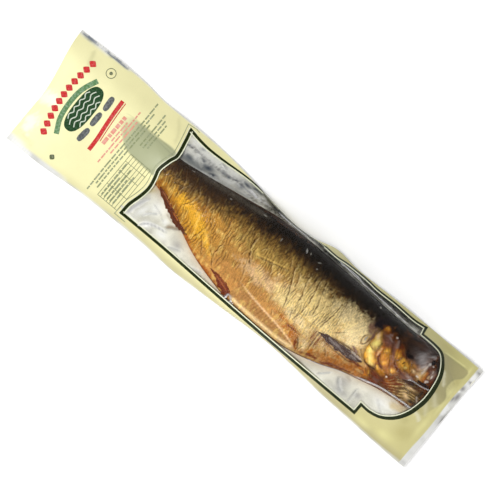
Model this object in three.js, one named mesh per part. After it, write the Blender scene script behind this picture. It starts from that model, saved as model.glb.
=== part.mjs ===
// A whole smoked herring sealed under vacuum in a long flat pouch, lying on its back sheet.
//
// The pouch is shut all round and drawn tight on the fish, so pouch and fish are one solid here: a thin
// welded sheet at both ends and along both sides, with the fish standing in it as a long rounded swelling
// that is highest behind the head and runs out to the tail.
//
// Millimetres, +Z up. X runs along the pouch from its title end to the fish's snout, and Y across it from
// the belly to the back of the fish. The origin is under the middle, at the height of the table.
import * as THREE from "three";

// Driving dimensions.
const POUCH_LENGTH = 424; // from the title end to the weld beyond the snout
const POUCH_WIDTH = 106; // laid flat, before the vacuum draws it in
const TITLE_END_SLANT = 9; // how much further the title end's back corner reaches than its belly corner
const FISH_THICKNESS = 30.5; // at the shoulder, where the fish is thickest
const WELD_THICKNESS = 0.9; // two sheets with the creases that the weld traps

// The fish's side lies flat on the back sheet over the middle part of its width.
const RESTING_SHARE = 0.66;
// Where the thickest line runs, as a share of the fish's width counted from its back.
const RIDGE_SHARE = 0.36;
// Height of the weld where it leaves the fish, as a share of the thickness there.
const BACK_WELD_RISE = 0.4;
const BELLY_WELD_RISE = 0.28;
// How quickly the weld falls from the fish to the table. 1 is a straight slope.
const WELD_FALL = 1.6;
// The long edges curl up and down a little, one wave in this length.
const EDGE_CURL = 1.6;
const CURL_LENGTH = 74;

// The gill cover: a raised plate, round at its rear edge, that the sheet shows through.
const GILL_COVER = { x: 354, share: 0.52, halfLength: 23, halfWidth: 0.34, height: 1.4 };

// The mesh: cells along the pouch, and across its belly side, the fish and its back side.
const CELLS_ALONG = 92;
const BELLY_CELLS = 4;
const FISH_CELLS = 14;
const BACK_CELLS = 4;
const CELLS_ACROSS = BELLY_CELLS + FISH_CELLS + BACK_CELLS;

const { lerp, smoothstep } = THREE.MathUtils;

// A smooth function through [place, value] stations, level beyond the first and the last.
function through(stations) {
  const slope = (i) => {
    const before = stations[Math.max(i - 1, 0)];
    const after = stations[Math.min(i + 1, stations.length - 1)];
    return (after[1] - before[1]) / (after[0] - before[0]);
  };
  const last = stations.length - 1;
  return (place) => {
    if (place <= stations[0][0]) return stations[0][1];
    if (place >= stations[last][0]) return stations[last][1];
    const i = stations.findIndex((station) => station[0] > place) - 1;
    const [[x0, y0], [x1, y1]] = [stations[i], stations[i + 1]];
    const span = x1 - x0;
    const t = (place - x0) / span;
    const rise = y1 - y0;
    const m0 = slope(i) * span;
    const m1 = slope(i + 1) * span;
    return y0 + m0 * t + (3 * rise - 2 * m0 - m1) * t * t + (m0 + m1 - 2 * rise) * t * t * t;
  };
}

// All stations below count x from the title end and y from the pouch's middle line.

// How far the vacuum draws each long edge in from its flat place. The fish's back pulls hardest: over its
// thickest part the edge hangs down beside it.
const backPull = through([
  [0, 0], [60, -0.8], [85, 1.2], [125, 0.7], [152, 1.4], [182, 5], [222, 10.5],
  [245, 9.2], [266, 3.6], [290, 5.2], [340, 3.8], [400, 3.5],
]);
const bellyPull = through([
  [0, 0], [40, 1.4], [80, 4.6], [140, 5.2], [175, 3.8], [215, 5.6], [272, 8.6], [330, 4.6], [400, 2.2],
]);
const backEdge = (x) => POUCH_WIDTH / 2 + 0.5 - backPull(x);
const bellyEdge = (x) => 0.5 - POUCH_WIDTH / 2 + bellyPull(x);

// The fish from above: tail fin, tail, back or belly, head, and the sheet's slope beyond the snout.
const fishBack = through([
  [40, 16], [70, 24], [95, 25.5], [120, 24.5], [150, 28.5], [185, 34.5], [215, 39.4],
  [260, 41], [345, 38.6], [376, 39], [392, 36.5], [411, 27],
]);
const fishBelly = through([
  [40, 4], [70, -6], [95, -7.2], [120, -4.2], [150, -14.6], [178, -26.9], [198, -32.9], [222, -37.6],
  [250, -39], [276, -38.7], [294, -36], [314, -30.2], [330, -23.6], [346, -19.3], [362, -15.4],
  [378, -12.9], [392, -11.6], [411, 6],
]);

// How high the fish and the sheet over it stand above the table.
const standing = through([
  [48, WELD_THICKNESS], [75, 3], [100, 5.2], [120, 9], [160, 0.52 * FISH_THICKNESS],
  [205, 0.8 * FISH_THICKNESS], [262, FISH_THICKNESS], [325, 0.95 * FISH_THICKNESS],
  [360, 0.88 * FISH_THICKNESS], [380, 0.7 * FISH_THICKNESS], [396, 0.38 * FISH_THICKNESS],
  [412, WELD_THICKNESS],
]);

// Upper outline of a cut across the fish: 0 at the back and at the belly, 1 on the ridge. The back is
// round and the flank runs down to a thin belly.
function roundness(share) {
  if (share < RIDGE_SHARE) {
    const fromRidge = (RIDGE_SHARE - share) / RIDGE_SHARE;
    return Math.sqrt(1 - fromRidge ** 2);
  }
  const fromRidge = (share - RIDGE_SHARE) / (1 - RIDGE_SHARE);
  return (1 - fromRidge ** 1.8) ** 0.72;
}

// Lower outline of the same cut: 0 where the fish rests, 1 at the two welds.
function lifted(share) {
  const beyond = Math.abs(share - 0.5) - RESTING_SHARE / 2;
  return Math.max(0, beyond / (0.5 - RESTING_SHARE / 2)) ** 1.6;
}

// Height of the gill cover above the head.
function gillRelief(x, share) {
  const { halfLength, halfWidth, height } = GILL_COVER;
  const fromMiddle = Math.hypot((x - GILL_COVER.x) / halfLength, (share - GILL_COVER.share) / halfWidth);
  return height * (1 - smoothstep(fromMiddle, 0.78, 1.08));
}

// Height of the weld's underside, from the fish at 0 to the pouch's edge at 1.
function weldHeight(x, rise, outward) {
  const fall = rise * (standing(x) - WELD_THICKNESS) * (1 - outward) ** WELD_FALL;
  const curl = EDGE_CURL * (0.5 - 0.5 * Math.cos((2 * Math.PI * x) / CURL_LENGTH)) * outward ** 3;
  return fall + curl;
}

// Place across the pouch, and heights of its under and upper side, for a cell line counted from the belly.
function acrossPouch(x, line) {
  if (line <= BELLY_CELLS) {
    const outward = 1 - line / BELLY_CELLS;
    const under = weldHeight(x, BELLY_WELD_RISE, outward);
    return { y: lerp(fishBelly(x), bellyEdge(x), outward), under, upper: under + WELD_THICKNESS };
  }
  if (line >= BELLY_CELLS + FISH_CELLS) {
    const outward = (line - BELLY_CELLS - FISH_CELLS) / BACK_CELLS;
    const under = weldHeight(x, BACK_WELD_RISE, outward);
    return { y: lerp(fishBack(x), backEdge(x), outward), under, upper: under + WELD_THICKNESS };
  }
  const share = 1 - (line - BELLY_CELLS) / FISH_CELLS;
  const weld = weldHeight(x, share < RIDGE_SHARE ? BACK_WELD_RISE : BELLY_WELD_RISE, 0);
  return {
    y: lerp(fishBack(x), fishBelly(x), share),
    under: weldHeight(x, share < 0.5 ? BACK_WELD_RISE : BELLY_WELD_RISE, 0) * lifted(share),
    upper: lerp(weld + WELD_THICKNESS, standing(x), roundness(share)) + gillRelief(x, share),
  };
}

// Where a cell line lies along the pouch: close together over the head, wide apart on the flat title end.
const HEAD_END = POUCH_LENGTH - TITLE_END_SLANT / 2;
const cellLine = through([[0, 0], [0.18, 104], [0.7, 322], [0.94, 404], [1, HEAD_END]]);

// How far a point near the title end lies from its square place. The edge there runs out to its back corner
// in a long curve, and the cell lines straighten up to SLANT_REACH.
const SLANT_REACH = 90;
function slant(x, y) {
  const toBack = smoothstep(y, -0.1 * POUCH_WIDTH, 0.5 * POUCH_WIDTH);
  return TITLE_END_SLANT * (0.5 - toBack) * (1 - smoothstep(x, 0, SLANT_REACH));
}

// A flat slab of cells, pressed into the pouch's shape.
function sealedPouch() {
  const slab = new THREE.BoxGeometry(1, 1, 1, CELLS_ALONG, CELLS_ACROSS, 1);
  const place = slab.getAttribute("position");
  for (let i = 0; i < place.count; i++) {
    const along = place.getX(i) + 0.5;
    const line = Math.round((place.getY(i) + 0.5) * CELLS_ACROSS);
    const x = cellLine(along);
    const { y, under, upper } = acrossPouch(x, line);
    place.setXYZ(i, x + slant(x, y), y, place.getZ(i) < 0 ? under : upper);
  }
  slab.computeBoundingBox();
  const middle = slab.boundingBox.getCenter(new THREE.Vector3());
  slab.translate(-middle.x, -middle.y, 0);
  slab.computeVertexNormals();
  return slab;
}

// Cream printed film over gold and brown fish skin: one tone stands for both.
function pouchMaterial() {
  return new THREE.MeshStandardMaterial({ color: 0xd9bd78, roughness: 0.3, metalness: 0 });
}

const pack = new THREE.Group();
const pouch = new THREE.Mesh(sealedPouch(), pouchMaterial());
pouch.name = "sealed_pouch";
pack.add(pouch);

export default pack;
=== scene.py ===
import math

import bpy
import numpy as np
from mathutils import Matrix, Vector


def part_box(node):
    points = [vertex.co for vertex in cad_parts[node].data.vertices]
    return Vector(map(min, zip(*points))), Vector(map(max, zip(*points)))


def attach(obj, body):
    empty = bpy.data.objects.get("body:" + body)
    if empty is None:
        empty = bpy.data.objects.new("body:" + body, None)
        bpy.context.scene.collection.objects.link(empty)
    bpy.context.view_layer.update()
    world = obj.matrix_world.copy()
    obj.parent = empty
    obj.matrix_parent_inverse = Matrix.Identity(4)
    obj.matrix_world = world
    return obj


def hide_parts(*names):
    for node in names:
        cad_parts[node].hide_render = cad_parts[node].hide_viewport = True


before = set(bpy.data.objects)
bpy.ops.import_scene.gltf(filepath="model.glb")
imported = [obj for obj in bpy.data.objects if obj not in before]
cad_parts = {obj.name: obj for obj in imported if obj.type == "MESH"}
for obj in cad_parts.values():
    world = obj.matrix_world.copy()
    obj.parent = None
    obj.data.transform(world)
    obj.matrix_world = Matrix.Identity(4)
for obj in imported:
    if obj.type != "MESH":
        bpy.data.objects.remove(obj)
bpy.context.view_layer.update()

# A whole smoked herring sealed under vacuum in a long flat pouch. Sizes are in millimetres unless a name
# says otherwise: along counts from the middle of the pouch's title end towards the snout, across from the
# pouch's middle line towards the fish's back, and height from the table.


# ------------------------------------------------------------------------------------------- the back sheet
# Silver laminate as large as the pouch. The fish lies on it, and its margins are welded to the front film.
# The vacuum draws both long margins in beside the fish, and past the thickest part one hangs down.

POUCH_LENGTH = 424.0
POUCH_WIDTH = 106.0
TITLE_END_SLANT = 9.0
WELD = 0.9
THICKNESS = 30.5
# The fish rests on this share of its width, and its thickest line runs at this share from its back.
RESTING_SHARE = 0.66
RIDGE_SHARE = 0.36
# Height at which the welds leave the fish, as shares of its thickness there.
BACK_WELD_RISE = 0.4
BELLY_WELD_RISE = 0.28
# The long edges curl up in waves of this length. The title end's slant reaches this far into the pouch.
EDGE_CURL = 1.6
CURL_LENGTH = 74.0
SLANT_REACH = 90.0
HEAD_END = POUCH_LENGTH - TITLE_END_SLANT / 2


def through(*stations):
    """A smooth function through (place, value) stations, level beyond the first and the last."""
    places, values = np.array(stations, float).T
    index = np.arange(len(places))
    before = np.maximum(index - 1, 0)
    after = np.minimum(index + 1, len(places) - 1)
    slopes = (values[after] - values[before]) / (places[after] - places[before])

    def at(place):
        place = np.clip(place, places[0], places[-1])
        i = np.clip(np.searchsorted(places, place, side="right") - 1, 0, len(places) - 2)
        span = places[i + 1] - places[i]
        t = (place - places[i]) / span
        rise = values[i + 1] - values[i]
        leave = slopes[i] * span
        arrive = slopes[i + 1] * span
        bend = (3 * rise - 2 * leave - arrive) * t**2 + (leave + arrive - 2 * rise) * t**3
        return values[i] + leave * t + bend

    return at


def lerp(low, high, share):
    return low + (high - low) * share


def ease(value, low, high):
    """0 below low, 1 above high, and smooth between."""
    t = np.clip((value - low) / (high - low), 0, 1)
    return t * t * (3 - 2 * t)


def fall(value, low, high):
    """1 below low, 0 above high, and smooth between."""
    return 1 - ease(value, low, high)


def bell(value, width):
    """1 at 0, and fading out to both sides over a width."""
    return np.exp(-((value / width) ** 2))


back_pull = through(
    (0, 0), (60, -0.8), (85, 1.2), (125, 0.7), (152, 1.4), (182, 5), (222, 10.5), (245, 9.2), (266, 3.6),
    (290, 5.2), (340, 3.8), (400, 3.5),
)
belly_pull = through(
    (0, 0), (40, 1.4), (80, 4.6), (140, 5.2), (175, 3.8), (215, 5.6), (272, 8.6), (330, 4.6), (400, 2.2),
)
fish_back = through(
    (40, 16), (70, 24), (95, 25.5), (120, 24.5), (150, 28.5), (185, 34.5), (215, 39.4), (260, 41),
    (345, 38.6), (376, 39), (392, 36.5), (411, 27),
)
fish_belly = through(
    (40, 4), (70, -6), (95, -7.2), (120, -4.2), (150, -14.6), (178, -26.9), (198, -32.9), (222, -37.6),
    (250, -39), (276, -38.7), (294, -36), (314, -30.2), (330, -23.6), (346, -19.3), (362, -15.4),
    (378, -12.9), (392, -11.6), (411, 6),
)
standing = through(
    (48, WELD), (75, 3), (100, 5.2), (120, 9), (160, 0.52 * THICKNESS), (205, 0.8 * THICKNESS),
    (262, THICKNESS), (325, 0.95 * THICKNESS), (360, 0.88 * THICKNESS), (380, 0.7 * THICKNESS),
    (396, 0.38 * THICKNESS), (412, WELD),
)


def back_edge(along):
    return POUCH_WIDTH / 2 + 0.5 - back_pull(along)


def belly_edge(along):
    return 0.5 - POUCH_WIDTH / 2 + belly_pull(along)


def slant(along, across):
    """How far a place near the title end lies from its square place."""
    to_back = ease(across, -0.1 * POUCH_WIDTH, 0.5 * POUCH_WIDTH)
    return TITLE_END_SLANT * (0.5 - to_back) * fall(along, 0, SLANT_REACH)


def edge_height(along):
    return EDGE_CURL * (0.5 - 0.5 * np.cos(2 * math.pi * along / CURL_LENGTH))


def under_side(along, share):
    """Height of the fish's lower side. It rests flat on its middle and rises to both welds."""
    rise = np.where(share < 0.5, BACK_WELD_RISE, BELLY_WELD_RISE)
    beyond = np.maximum(0, np.abs(share - 0.5) - RESTING_SHARE / 2) / (0.5 - RESTING_SHARE / 2)
    return rise * (standing(along) - WELD) * beyond**1.6


# Each margin runs from the fish to the pouch's edge in a curve. Its bend is told by where it would turn if
# it ran straight: how far out, and how far above the edge, as shares of the whole way.
back_reach = through(
    (60, 0.4), (120, 0.3), (165, 0.35), (185, 0.7), (200, 1.2), (222, 1.4), (245, 1.15), (262, 0.75),
    (300, 0.6), (350, 0.5), (400, 0.5),
)
back_bulge = through(
    (60, 0.3), (120, 0.12), (165, 0.2), (200, 0.5), (245, 0.5), (300, 0.45), (350, 0.35), (400, 0.4),
)
belly_reach = through(
    (60, 0.4), (120, 0.25), (180, 0.4), (220, 0.7), (255, 0.85), (290, 0.7), (325, 0.35), (395, 0.3),
)
belly_bulge = through(
    (60, 0.3), (120, 0.1), (180, 0.3), (220, 0.7), (255, 0.8), (290, 0.7), (325, 0.3), (395, 0.2),
)


def margin(start, end, reach, bulge, share):
    """A margin's places across and heights, for shares of the way from the fish out to the edge."""
    (start_across, start_height), (end_across, end_height) = start, end
    turn_across = lerp(start_across, end_across, reach)
    turn_height = lerp(end_height, start_height, bulge)
    across = (1 - share) ** 2 * start_across + 2 * share * (1 - share) * turn_across + share**2 * end_across
    height = (1 - share) ** 2 * start_height + 2 * share * (1 - share) * turn_height + share**2 * end_height
    return across, height


def with_margins(column, lines, edge, cells, less_reach=0.0, flatter=1.0):
    """A sheet's lines of places across and heights with both margins added, from the belly edge to the
    back edge. The back margin can turn nearer to the fish, and both can bulge by a share only."""
    across, height = lines
    belly = margin(
        (across[:, :1], height[:, :1]), (belly_edge(column), edge),
        belly_reach(column), flatter * belly_bulge(column), np.linspace(1, 0, cells[0] + 1)[:-1],
    )
    back = margin(
        (across[:, -1:], height[:, -1:]), (back_edge(column), edge),
        back_reach(column) - less_reach, flatter * back_bulge(column), np.linspace(0, 1, cells[1] + 1)[1:],
    )
    return [np.concatenate(parts, axis=1) for parts in zip(belly, lines, back)]


frame_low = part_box("sealed_pouch")[0]
METRE = 0.001
POUCH_LOW = (-TITLE_END_SLANT / 2, 0.5 - POUCH_WIDTH / 2, 0.0)
ORIGIN_ALONG = (HEAD_END + POUCH_LOW[0]) / 2


def in_metres(*place):
    """Places in the object's frame, from places along and across with their heights."""
    return np.stack([at + (x - low) * METRE for at, x, low in zip(frame_low, place, POUCH_LOW)], -1)


def cells_between(index):
    """The four-sided cells of a grid of point numbers."""
    return np.stack([index[:-1, :-1], index[1:, :-1], index[1:, 1:], index[:-1, 1:]], -1)


def new_piece(name, places, faces):
    mesh = bpy.data.meshes.new(name)
    mesh.from_pydata(places.tolist(), [], faces)
    mesh.shade_smooth()
    piece = bpy.data.objects.new(name, mesh)
    bpy.context.scene.collection.objects.link(piece)
    return piece


def skin_of_cells(name, along, across, height, keep=None, tube=False, fields=None):
    """A piece of four-sided cells through arrays of places. keep picks the cells that it has, a tube's last
    line joins its first and its ends are closed, and each of fields becomes an attribute of the points."""
    index = np.arange(along.size).reshape(along.shape)
    if tube:
        index = np.concatenate([index, index[:, :1]], axis=1)
    cells = cells_between(index)
    cells = cells.reshape(-1, 4) if keep is None else cells[keep]
    used, corners = np.unique(cells, return_inverse=True)
    faces = corners.reshape(-1, 4).tolist()
    if tube:
        faces.append(index[0, :-1].tolist())
        faces.append(index[-1, -2::-1].tolist())
    piece = new_piece(name, in_metres(along, across, height).reshape(-1, 3)[used], faces)
    for field, values in (fields or {}).items():
        attribute = piece.data.attributes.new(field, "FLOAT", "POINT")
        attribute.data.foreach_set("value", np.ascontiguousarray(values.reshape(-1)[used], np.float32))
    return piece


def belongs(piece, material):
    """The piece is part of the sealed pouch."""
    piece.data.materials.append(material)
    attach(piece, "root")
    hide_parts("sealed_pouch")


LATTICE = 512


def value_noise(x, y, seed):
    """A smooth random field from 0 to 1 whose lumps are about one unit wide."""
    lattice = np.random.default_rng(seed).random((LATTICE, LATTICE))
    column = np.floor(x).astype(int)
    row = np.floor(y).astype(int)
    u = ease(x - column, 0, 1)
    v = ease(y - row, 0, 1)
    i, next_i = column % LATTICE, (column + 1) % LATTICE
    j, next_j = row % LATTICE, (row + 1) % LATTICE
    here = lerp(lattice[i, j], lattice[next_i, j], u)
    there = lerp(lattice[i, next_j], lattice[next_i, next_j], u)
    return lerp(here, there, v)


def lumps(places, length, width, seed):
    """The same field at places along and across, with lumps of a length and a width."""
    return value_noise(places[0] / length, places[1] / width, seed)


def folds(x, y, seed):
    """Sharp ridges on soft lumps, as in crumpled foil: 1 on a ridge."""
    warp = 1.6 * value_noise(x * 0.5, y * 0.5, seed + 7)
    coarse = 1 - np.abs(2 * value_noise(x + warp, y - warp, seed) - 1)
    fine = 1 - np.abs(2 * value_noise(2.3 * x - warp, 2.3 * y + warp, seed + 1) - 1)
    return 0.7 * coarse**2 + 0.3 * fine**2


def smooth_line(points, steps=8):
    """Points of a rounded line through the given ones."""
    points = np.array(points, float)
    if len(points) < 3:
        return points
    reach = np.concatenate([[0], np.cumsum(np.hypot(*np.diff(points, axis=0).T))])
    places = np.linspace(0, reach[-1], steps * (len(points) - 1) + 1)
    x = through(*zip(reach, points[:, 0]))(places)
    y = through(*zip(reach, points[:, 1]))(places)
    return np.stack([x, y], -1)


def off_line(along, across, points):
    """Distance from a rounded line, and the share of its length reached, for each place."""
    line = smooth_line(points)
    nearest = np.full(along.shape, 1e3)
    reached = np.zeros(along.shape)
    for i, (start, end) in enumerate(zip(line[:-1], line[1:])):
        way = end - start
        t = ((along - start[0]) * way[0] + (across - start[1]) * way[1]) / (way @ way)
        t = np.clip(t, 0, 1)
        gap = np.hypot(along - start[0] - t * way[0], across - start[1] - t * way[1])
        closer = gap < nearest
        nearest = np.where(closer, gap, nearest)
        reached = np.where(closer, (i + t) / (len(line) - 1), reached)
    return nearest, reached


def strokes(places, *lines):
    """The strongest of soft lines at places along and across, each line given as (points, half width,
    strength). A line thins out at both ends and wavers a little."""
    along, across = places
    result = np.zeros(along.shape)
    for points, half_width, strength in lines:
        low = np.min(points, axis=0) - 4 * half_width
        high = np.max(points, axis=0) + 4 * half_width
        near = (along > low[0]) & (along < high[0]) & (across > low[1]) & (across < high[1])
        gap, reached = off_line(along[near], across[near], points)
        ends = np.clip(np.minimum(reached, 1 - reached) / 0.15, 0.05, 1) ** 0.5
        width = half_width * ends * lerp(0.75, 1.25, value_noise(along[near] / 1.5, across[near] / 1.5, 5))
        result[near] = np.maximum(result[near], strength * ends * bell(gap, width))
    return result


def from_middle(along, across, oval):
    """How far places lie from an oval's middle: 1 on its edge. An oval is given as (along, across, half
    length, half width, turn in degrees)."""
    x, y, half_length, half_width, turn = oval
    cos, sin = math.cos(math.radians(turn)), math.sin(math.radians(turn))
    u = ((along - x) * cos + (across - y) * sin) / half_length
    v = ((across - y) * cos - (along - x) * sin) / half_width
    return np.hypot(u, v)


def spots(places, *ovals):
    """1 inside any of the ovals and 0 outside. They are drawn out of shape a little, and their edges are
    soft and ragged."""
    along, across = places
    ragged = 0.6 * lumps(places, 2.2, 2.2, 41) - 0.5
    ragged += 0.4 * lumps(places, 0.9, 0.9, 42)
    drift = lumps(places, 4.5, 4.5, 43) - 0.5
    sway = lumps(places, 4.5, 4.5, 44) - 0.5
    result = np.zeros(along.shape)
    for oval in ovals:
        pull = min(oval[2], oval[3], 3.5)
        out = from_middle(along + pull * drift, across + pull * sway, oval)
        result = np.maximum(result, fall(out + ragged, 0.45, 1.35))
    return result


def glows(places, *ovals):
    """The strongest of soft ovals, which fade out from their middles."""
    return bell(np.min([from_middle(*places, oval) for oval in ovals], axis=0), 1)


class Flow:
    """A socket in a material's nodes. Sums and products of flows add Math nodes."""

    def __init__(self, tree, socket=None):
        self.tree = tree
        self.socket = socket

    def node(self, kind, settings=None, sockets=None, out=0):
        """Adds a node: its settings first, and then the values or the links of its sockets."""
        made = self.tree.nodes.new(kind)
        for name, value in (settings or {}).items():
            setattr(made, name, value)
        for key, value in (sockets or {}).items():
            if isinstance(value, Flow):
                self.tree.links.new(value.socket, made.inputs[key])
            else:
                made.inputs[key].default_value = value
        return Flow(self.tree, made.outputs[out] if made.outputs else None)

    def math(self, operation, *values):
        return self.node("ShaderNodeMath", {"operation": operation}, dict(enumerate(values)))

    def __add__(self, other):
        return self.math("ADD", self, other)

    def __radd__(self, other):
        return self.math("ADD", other, self)

    def __sub__(self, other):
        return self.math("SUBTRACT", self, other)

    def __rsub__(self, other):
        return self.math("SUBTRACT", other, self)

    def __mul__(self, other):
        return self.math("MULTIPLY", self, other)

    def __rmul__(self, other):
        return self.math("MULTIPLY", other, self)

    def ease(self, low, high):
        """0 below low, 1 above high, and smooth between."""
        sockets = {0: self, 1: low, 2: high}
        return self.node("ShaderNodeMapRange", {"interpolation_type": "SMOOTHSTEP"}, sockets)

    def paint(self, under, over):
        """The colour under where this flow is 0, and over where it is 1."""
        return self.node("ShaderNodeMix", {"data_type": "RGBA"}, {0: self, 6: under, 7: over}, out=2)

    def shaded(self, colour, dark, light):
        """The colour made darker where this flow is 0 and lighter where it is 1."""
        share = self.ease(0, 1) * (light - dark) + dark
        grey = self.node("ShaderNodeCombineColor", {}, {0: share, 1: share, 2: share})
        settings = {"data_type": "RGBA", "blend_type": "MULTIPLY"}
        return self.node("ShaderNodeMix", settings, {0: 1.0, 6: colour, 7: grey}, out=2)

    def field(self, name):
        return self.node("ShaderNodeAttribute", {"attribute_name": name}, out=2)

    def coats(self, base, **coats):
        """A base colour under coats, each laid where the piece's field of that name is 1. A coat is given by
        its display values, and a fourth number tells how well it covers."""
        for name, (red, green, blue, *cover) in coats.items():
            share = self.field(name) * cover[0] if cover else self.field(name)
            base = share.paint(base, tone(red, green, blue))
        return base

    def place(self, axis):
        """Millimetres from the object's origin along an axis, 0 to 2."""
        point = self.node("ShaderNodeTexCoord", out=3)
        return self.node("ShaderNodeSeparateXYZ", {}, {0: point}, out=axis) * 1000

    def noise(self, per_mm, detail=2.0, stretch=(1, 1, 1)):
        """Noise in the object's own millimetres, with lumps as long as stretch says."""
        scale = tuple(1000 * per_mm / s for s in stretch)
        point = self.node("ShaderNodeTexCoord", out=3)
        point = self.node("ShaderNodeMapping", {}, {0: point, 3: scale})
        return self.node("ShaderNodeTexNoise", {}, {"Vector": point, "Scale": 1.0, "Detail": detail})

    def bump(self, strength, distance):
        sockets = {"Strength": strength, "Distance": distance * METRE, "Height": self}
        return self.node("ShaderNodeBump", {}, sockets)

    def surface(self, **sockets):
        """The material's finished surface, whose sockets are given with _ for their spaces."""
        sockets = {name.replace("_", " "): value for name, value in sockets.items()}
        shader = self.node("ShaderNodeBsdfPrincipled", {}, sockets)
        self.node("ShaderNodeOutputMaterial", {}, {"Surface": shader})


def new_material(name):
    """A material without nodes, and a flow to add them with."""
    material = bpy.data.materials.new(name)
    material.use_nodes = True
    material.node_tree.nodes.clear()
    return material, Flow(material.node_tree)


def tone(red, green, blue):
    """A colour from its display values, 0 to 255."""
    display = np.array([red, green, blue]) / 255
    linear = np.where(display <= 0.04045, display / 12.92, ((display + 0.055) / 1.055) ** 2.4)
    return (*linear, 1.0)


FOIL_CELL = 1.0
FOIL_MARGIN_CELLS = (24, 24)
FOIL_MIDDLE_LINES = 72
FOIL_GAP = 0.3
TABLE_GAP = 0.02 * WELD
SHEET_WAVE = 0.5

column = np.linspace(0, HEAD_END, round(HEAD_END / FOIL_CELL))[:, None]


def sheet_wave(along, across):
    """Slow waves that both sheets share where they lie flat on each other."""
    flat = fall(along, 55, 95)
    return SHEET_WAVE * flat * value_noise(along / 16 + 3, across / 24 + 3, 71)


def foil_lines(column):
    """The back sheet's places across and heights, from its belly edge to its back edge."""
    share = np.linspace(1, 0, FOIL_MIDDLE_LINES + 1)
    across = lerp(fish_back(column), fish_belly(column), share)
    lines = (across, under_side(column, share) + TABLE_GAP)
    edge = edge_height(column) + TABLE_GAP
    return with_margins(column, lines, edge, FOIL_MARGIN_CELLS, less_reach=0.15, flatter=0.7)


foil_across, foil_height = foil_lines(column)
foil_along = column + slant(column, foil_across)
on_foil = (foil_along, foil_across)

# Folds pressed into the foil beside the fish's belly, and crumples above its tail. Each fold's bright side
# faces the snout and the fish's back, and its shade lies on the other side.
LIGHT_BESIDE = 0.5
SHADE_BESIDE = 0.9
FOIL_FOLDS = (
    ([(118, -36), (121, -24), (126, -14)], 2.2, 0.6),
    ([(131, -38), (135, -33), (140, -30), (146, -28.4), (153.5, -27.4)], 1.4, 0.9),
    ([(128.5, -30), (133, -24), (139, -20)], 1.4, 0.6), ([(149, -25), (155, -21.5), (160, -19)], 1.2, 0.9),
    ([(160, -36), (172, -31)], 2.2, 0.5), ([(184, -37), (196, -34)], 1.8, 0.5),
    ([(318, -37), (327, -28)], 1.6, 0.6), ([(333, -27), (338, -33), (343, -35)], 2.0, 0.7),
    ([(352, -39), (351, -24)], 1.2, 0.6), ([(368, -20), (380, -29)], 1.6, 0.5),
    ([(122, 40), (136, 38.5), (150, 39.5)], 0.9, 0.8), ([(150, 43), (160, 40), (172, 41.5)], 1.1, 0.8),
    ([(170, 43.5), (178, 40.5), (192, 41)], 0.8, 0.9), ([(133, 37), (136, 32), (141, 28.5)], 1.3, 0.6),
)
pressed = strokes(on_foil, *FOIL_FOLDS)
outside = np.maximum(foil_across - fish_back(foil_along), fish_belly(foil_along) - foil_across)
from_welds = np.minimum(back_edge(foil_along) - foil_across, foil_across - belly_edge(foil_along))
free = ease(outside, 0, 3) * ease(from_welds, 5, 11)
free *= ease(foil_along, 100, 118) * fall(foil_along, 390, 399)
soft_folds = folds(foil_along / 15, foil_across / 11, 3)
small_folds = folds(foil_along / 4.5, foil_across / 3, 13)
above_tail = spots(on_foil, (140, 38, 32, 11, 5), (176, 42, 26, 6, 0))
foil_height = foil_height + sheet_wave(foil_along, foil_across)
foil_height += free * (0.5 * soft_folds + 0.9 * pressed + 0.35 * above_tail * small_folds)
fine_folds = folds(foil_along / 2.6, foil_across / 1.7, 17)
crinkled = glows(
    on_foil, (126, 37.4, 6, 1.7, 0), (150, 37.6, 14, 1.6, 1), (168, 39.4, 8, 1.7, 1), (186, 39, 7, 1.6, 6),
)
thin_folds = [(points, 0.6 * half_width, strength) for points, half_width, strength in FOIL_FOLDS]
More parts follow.
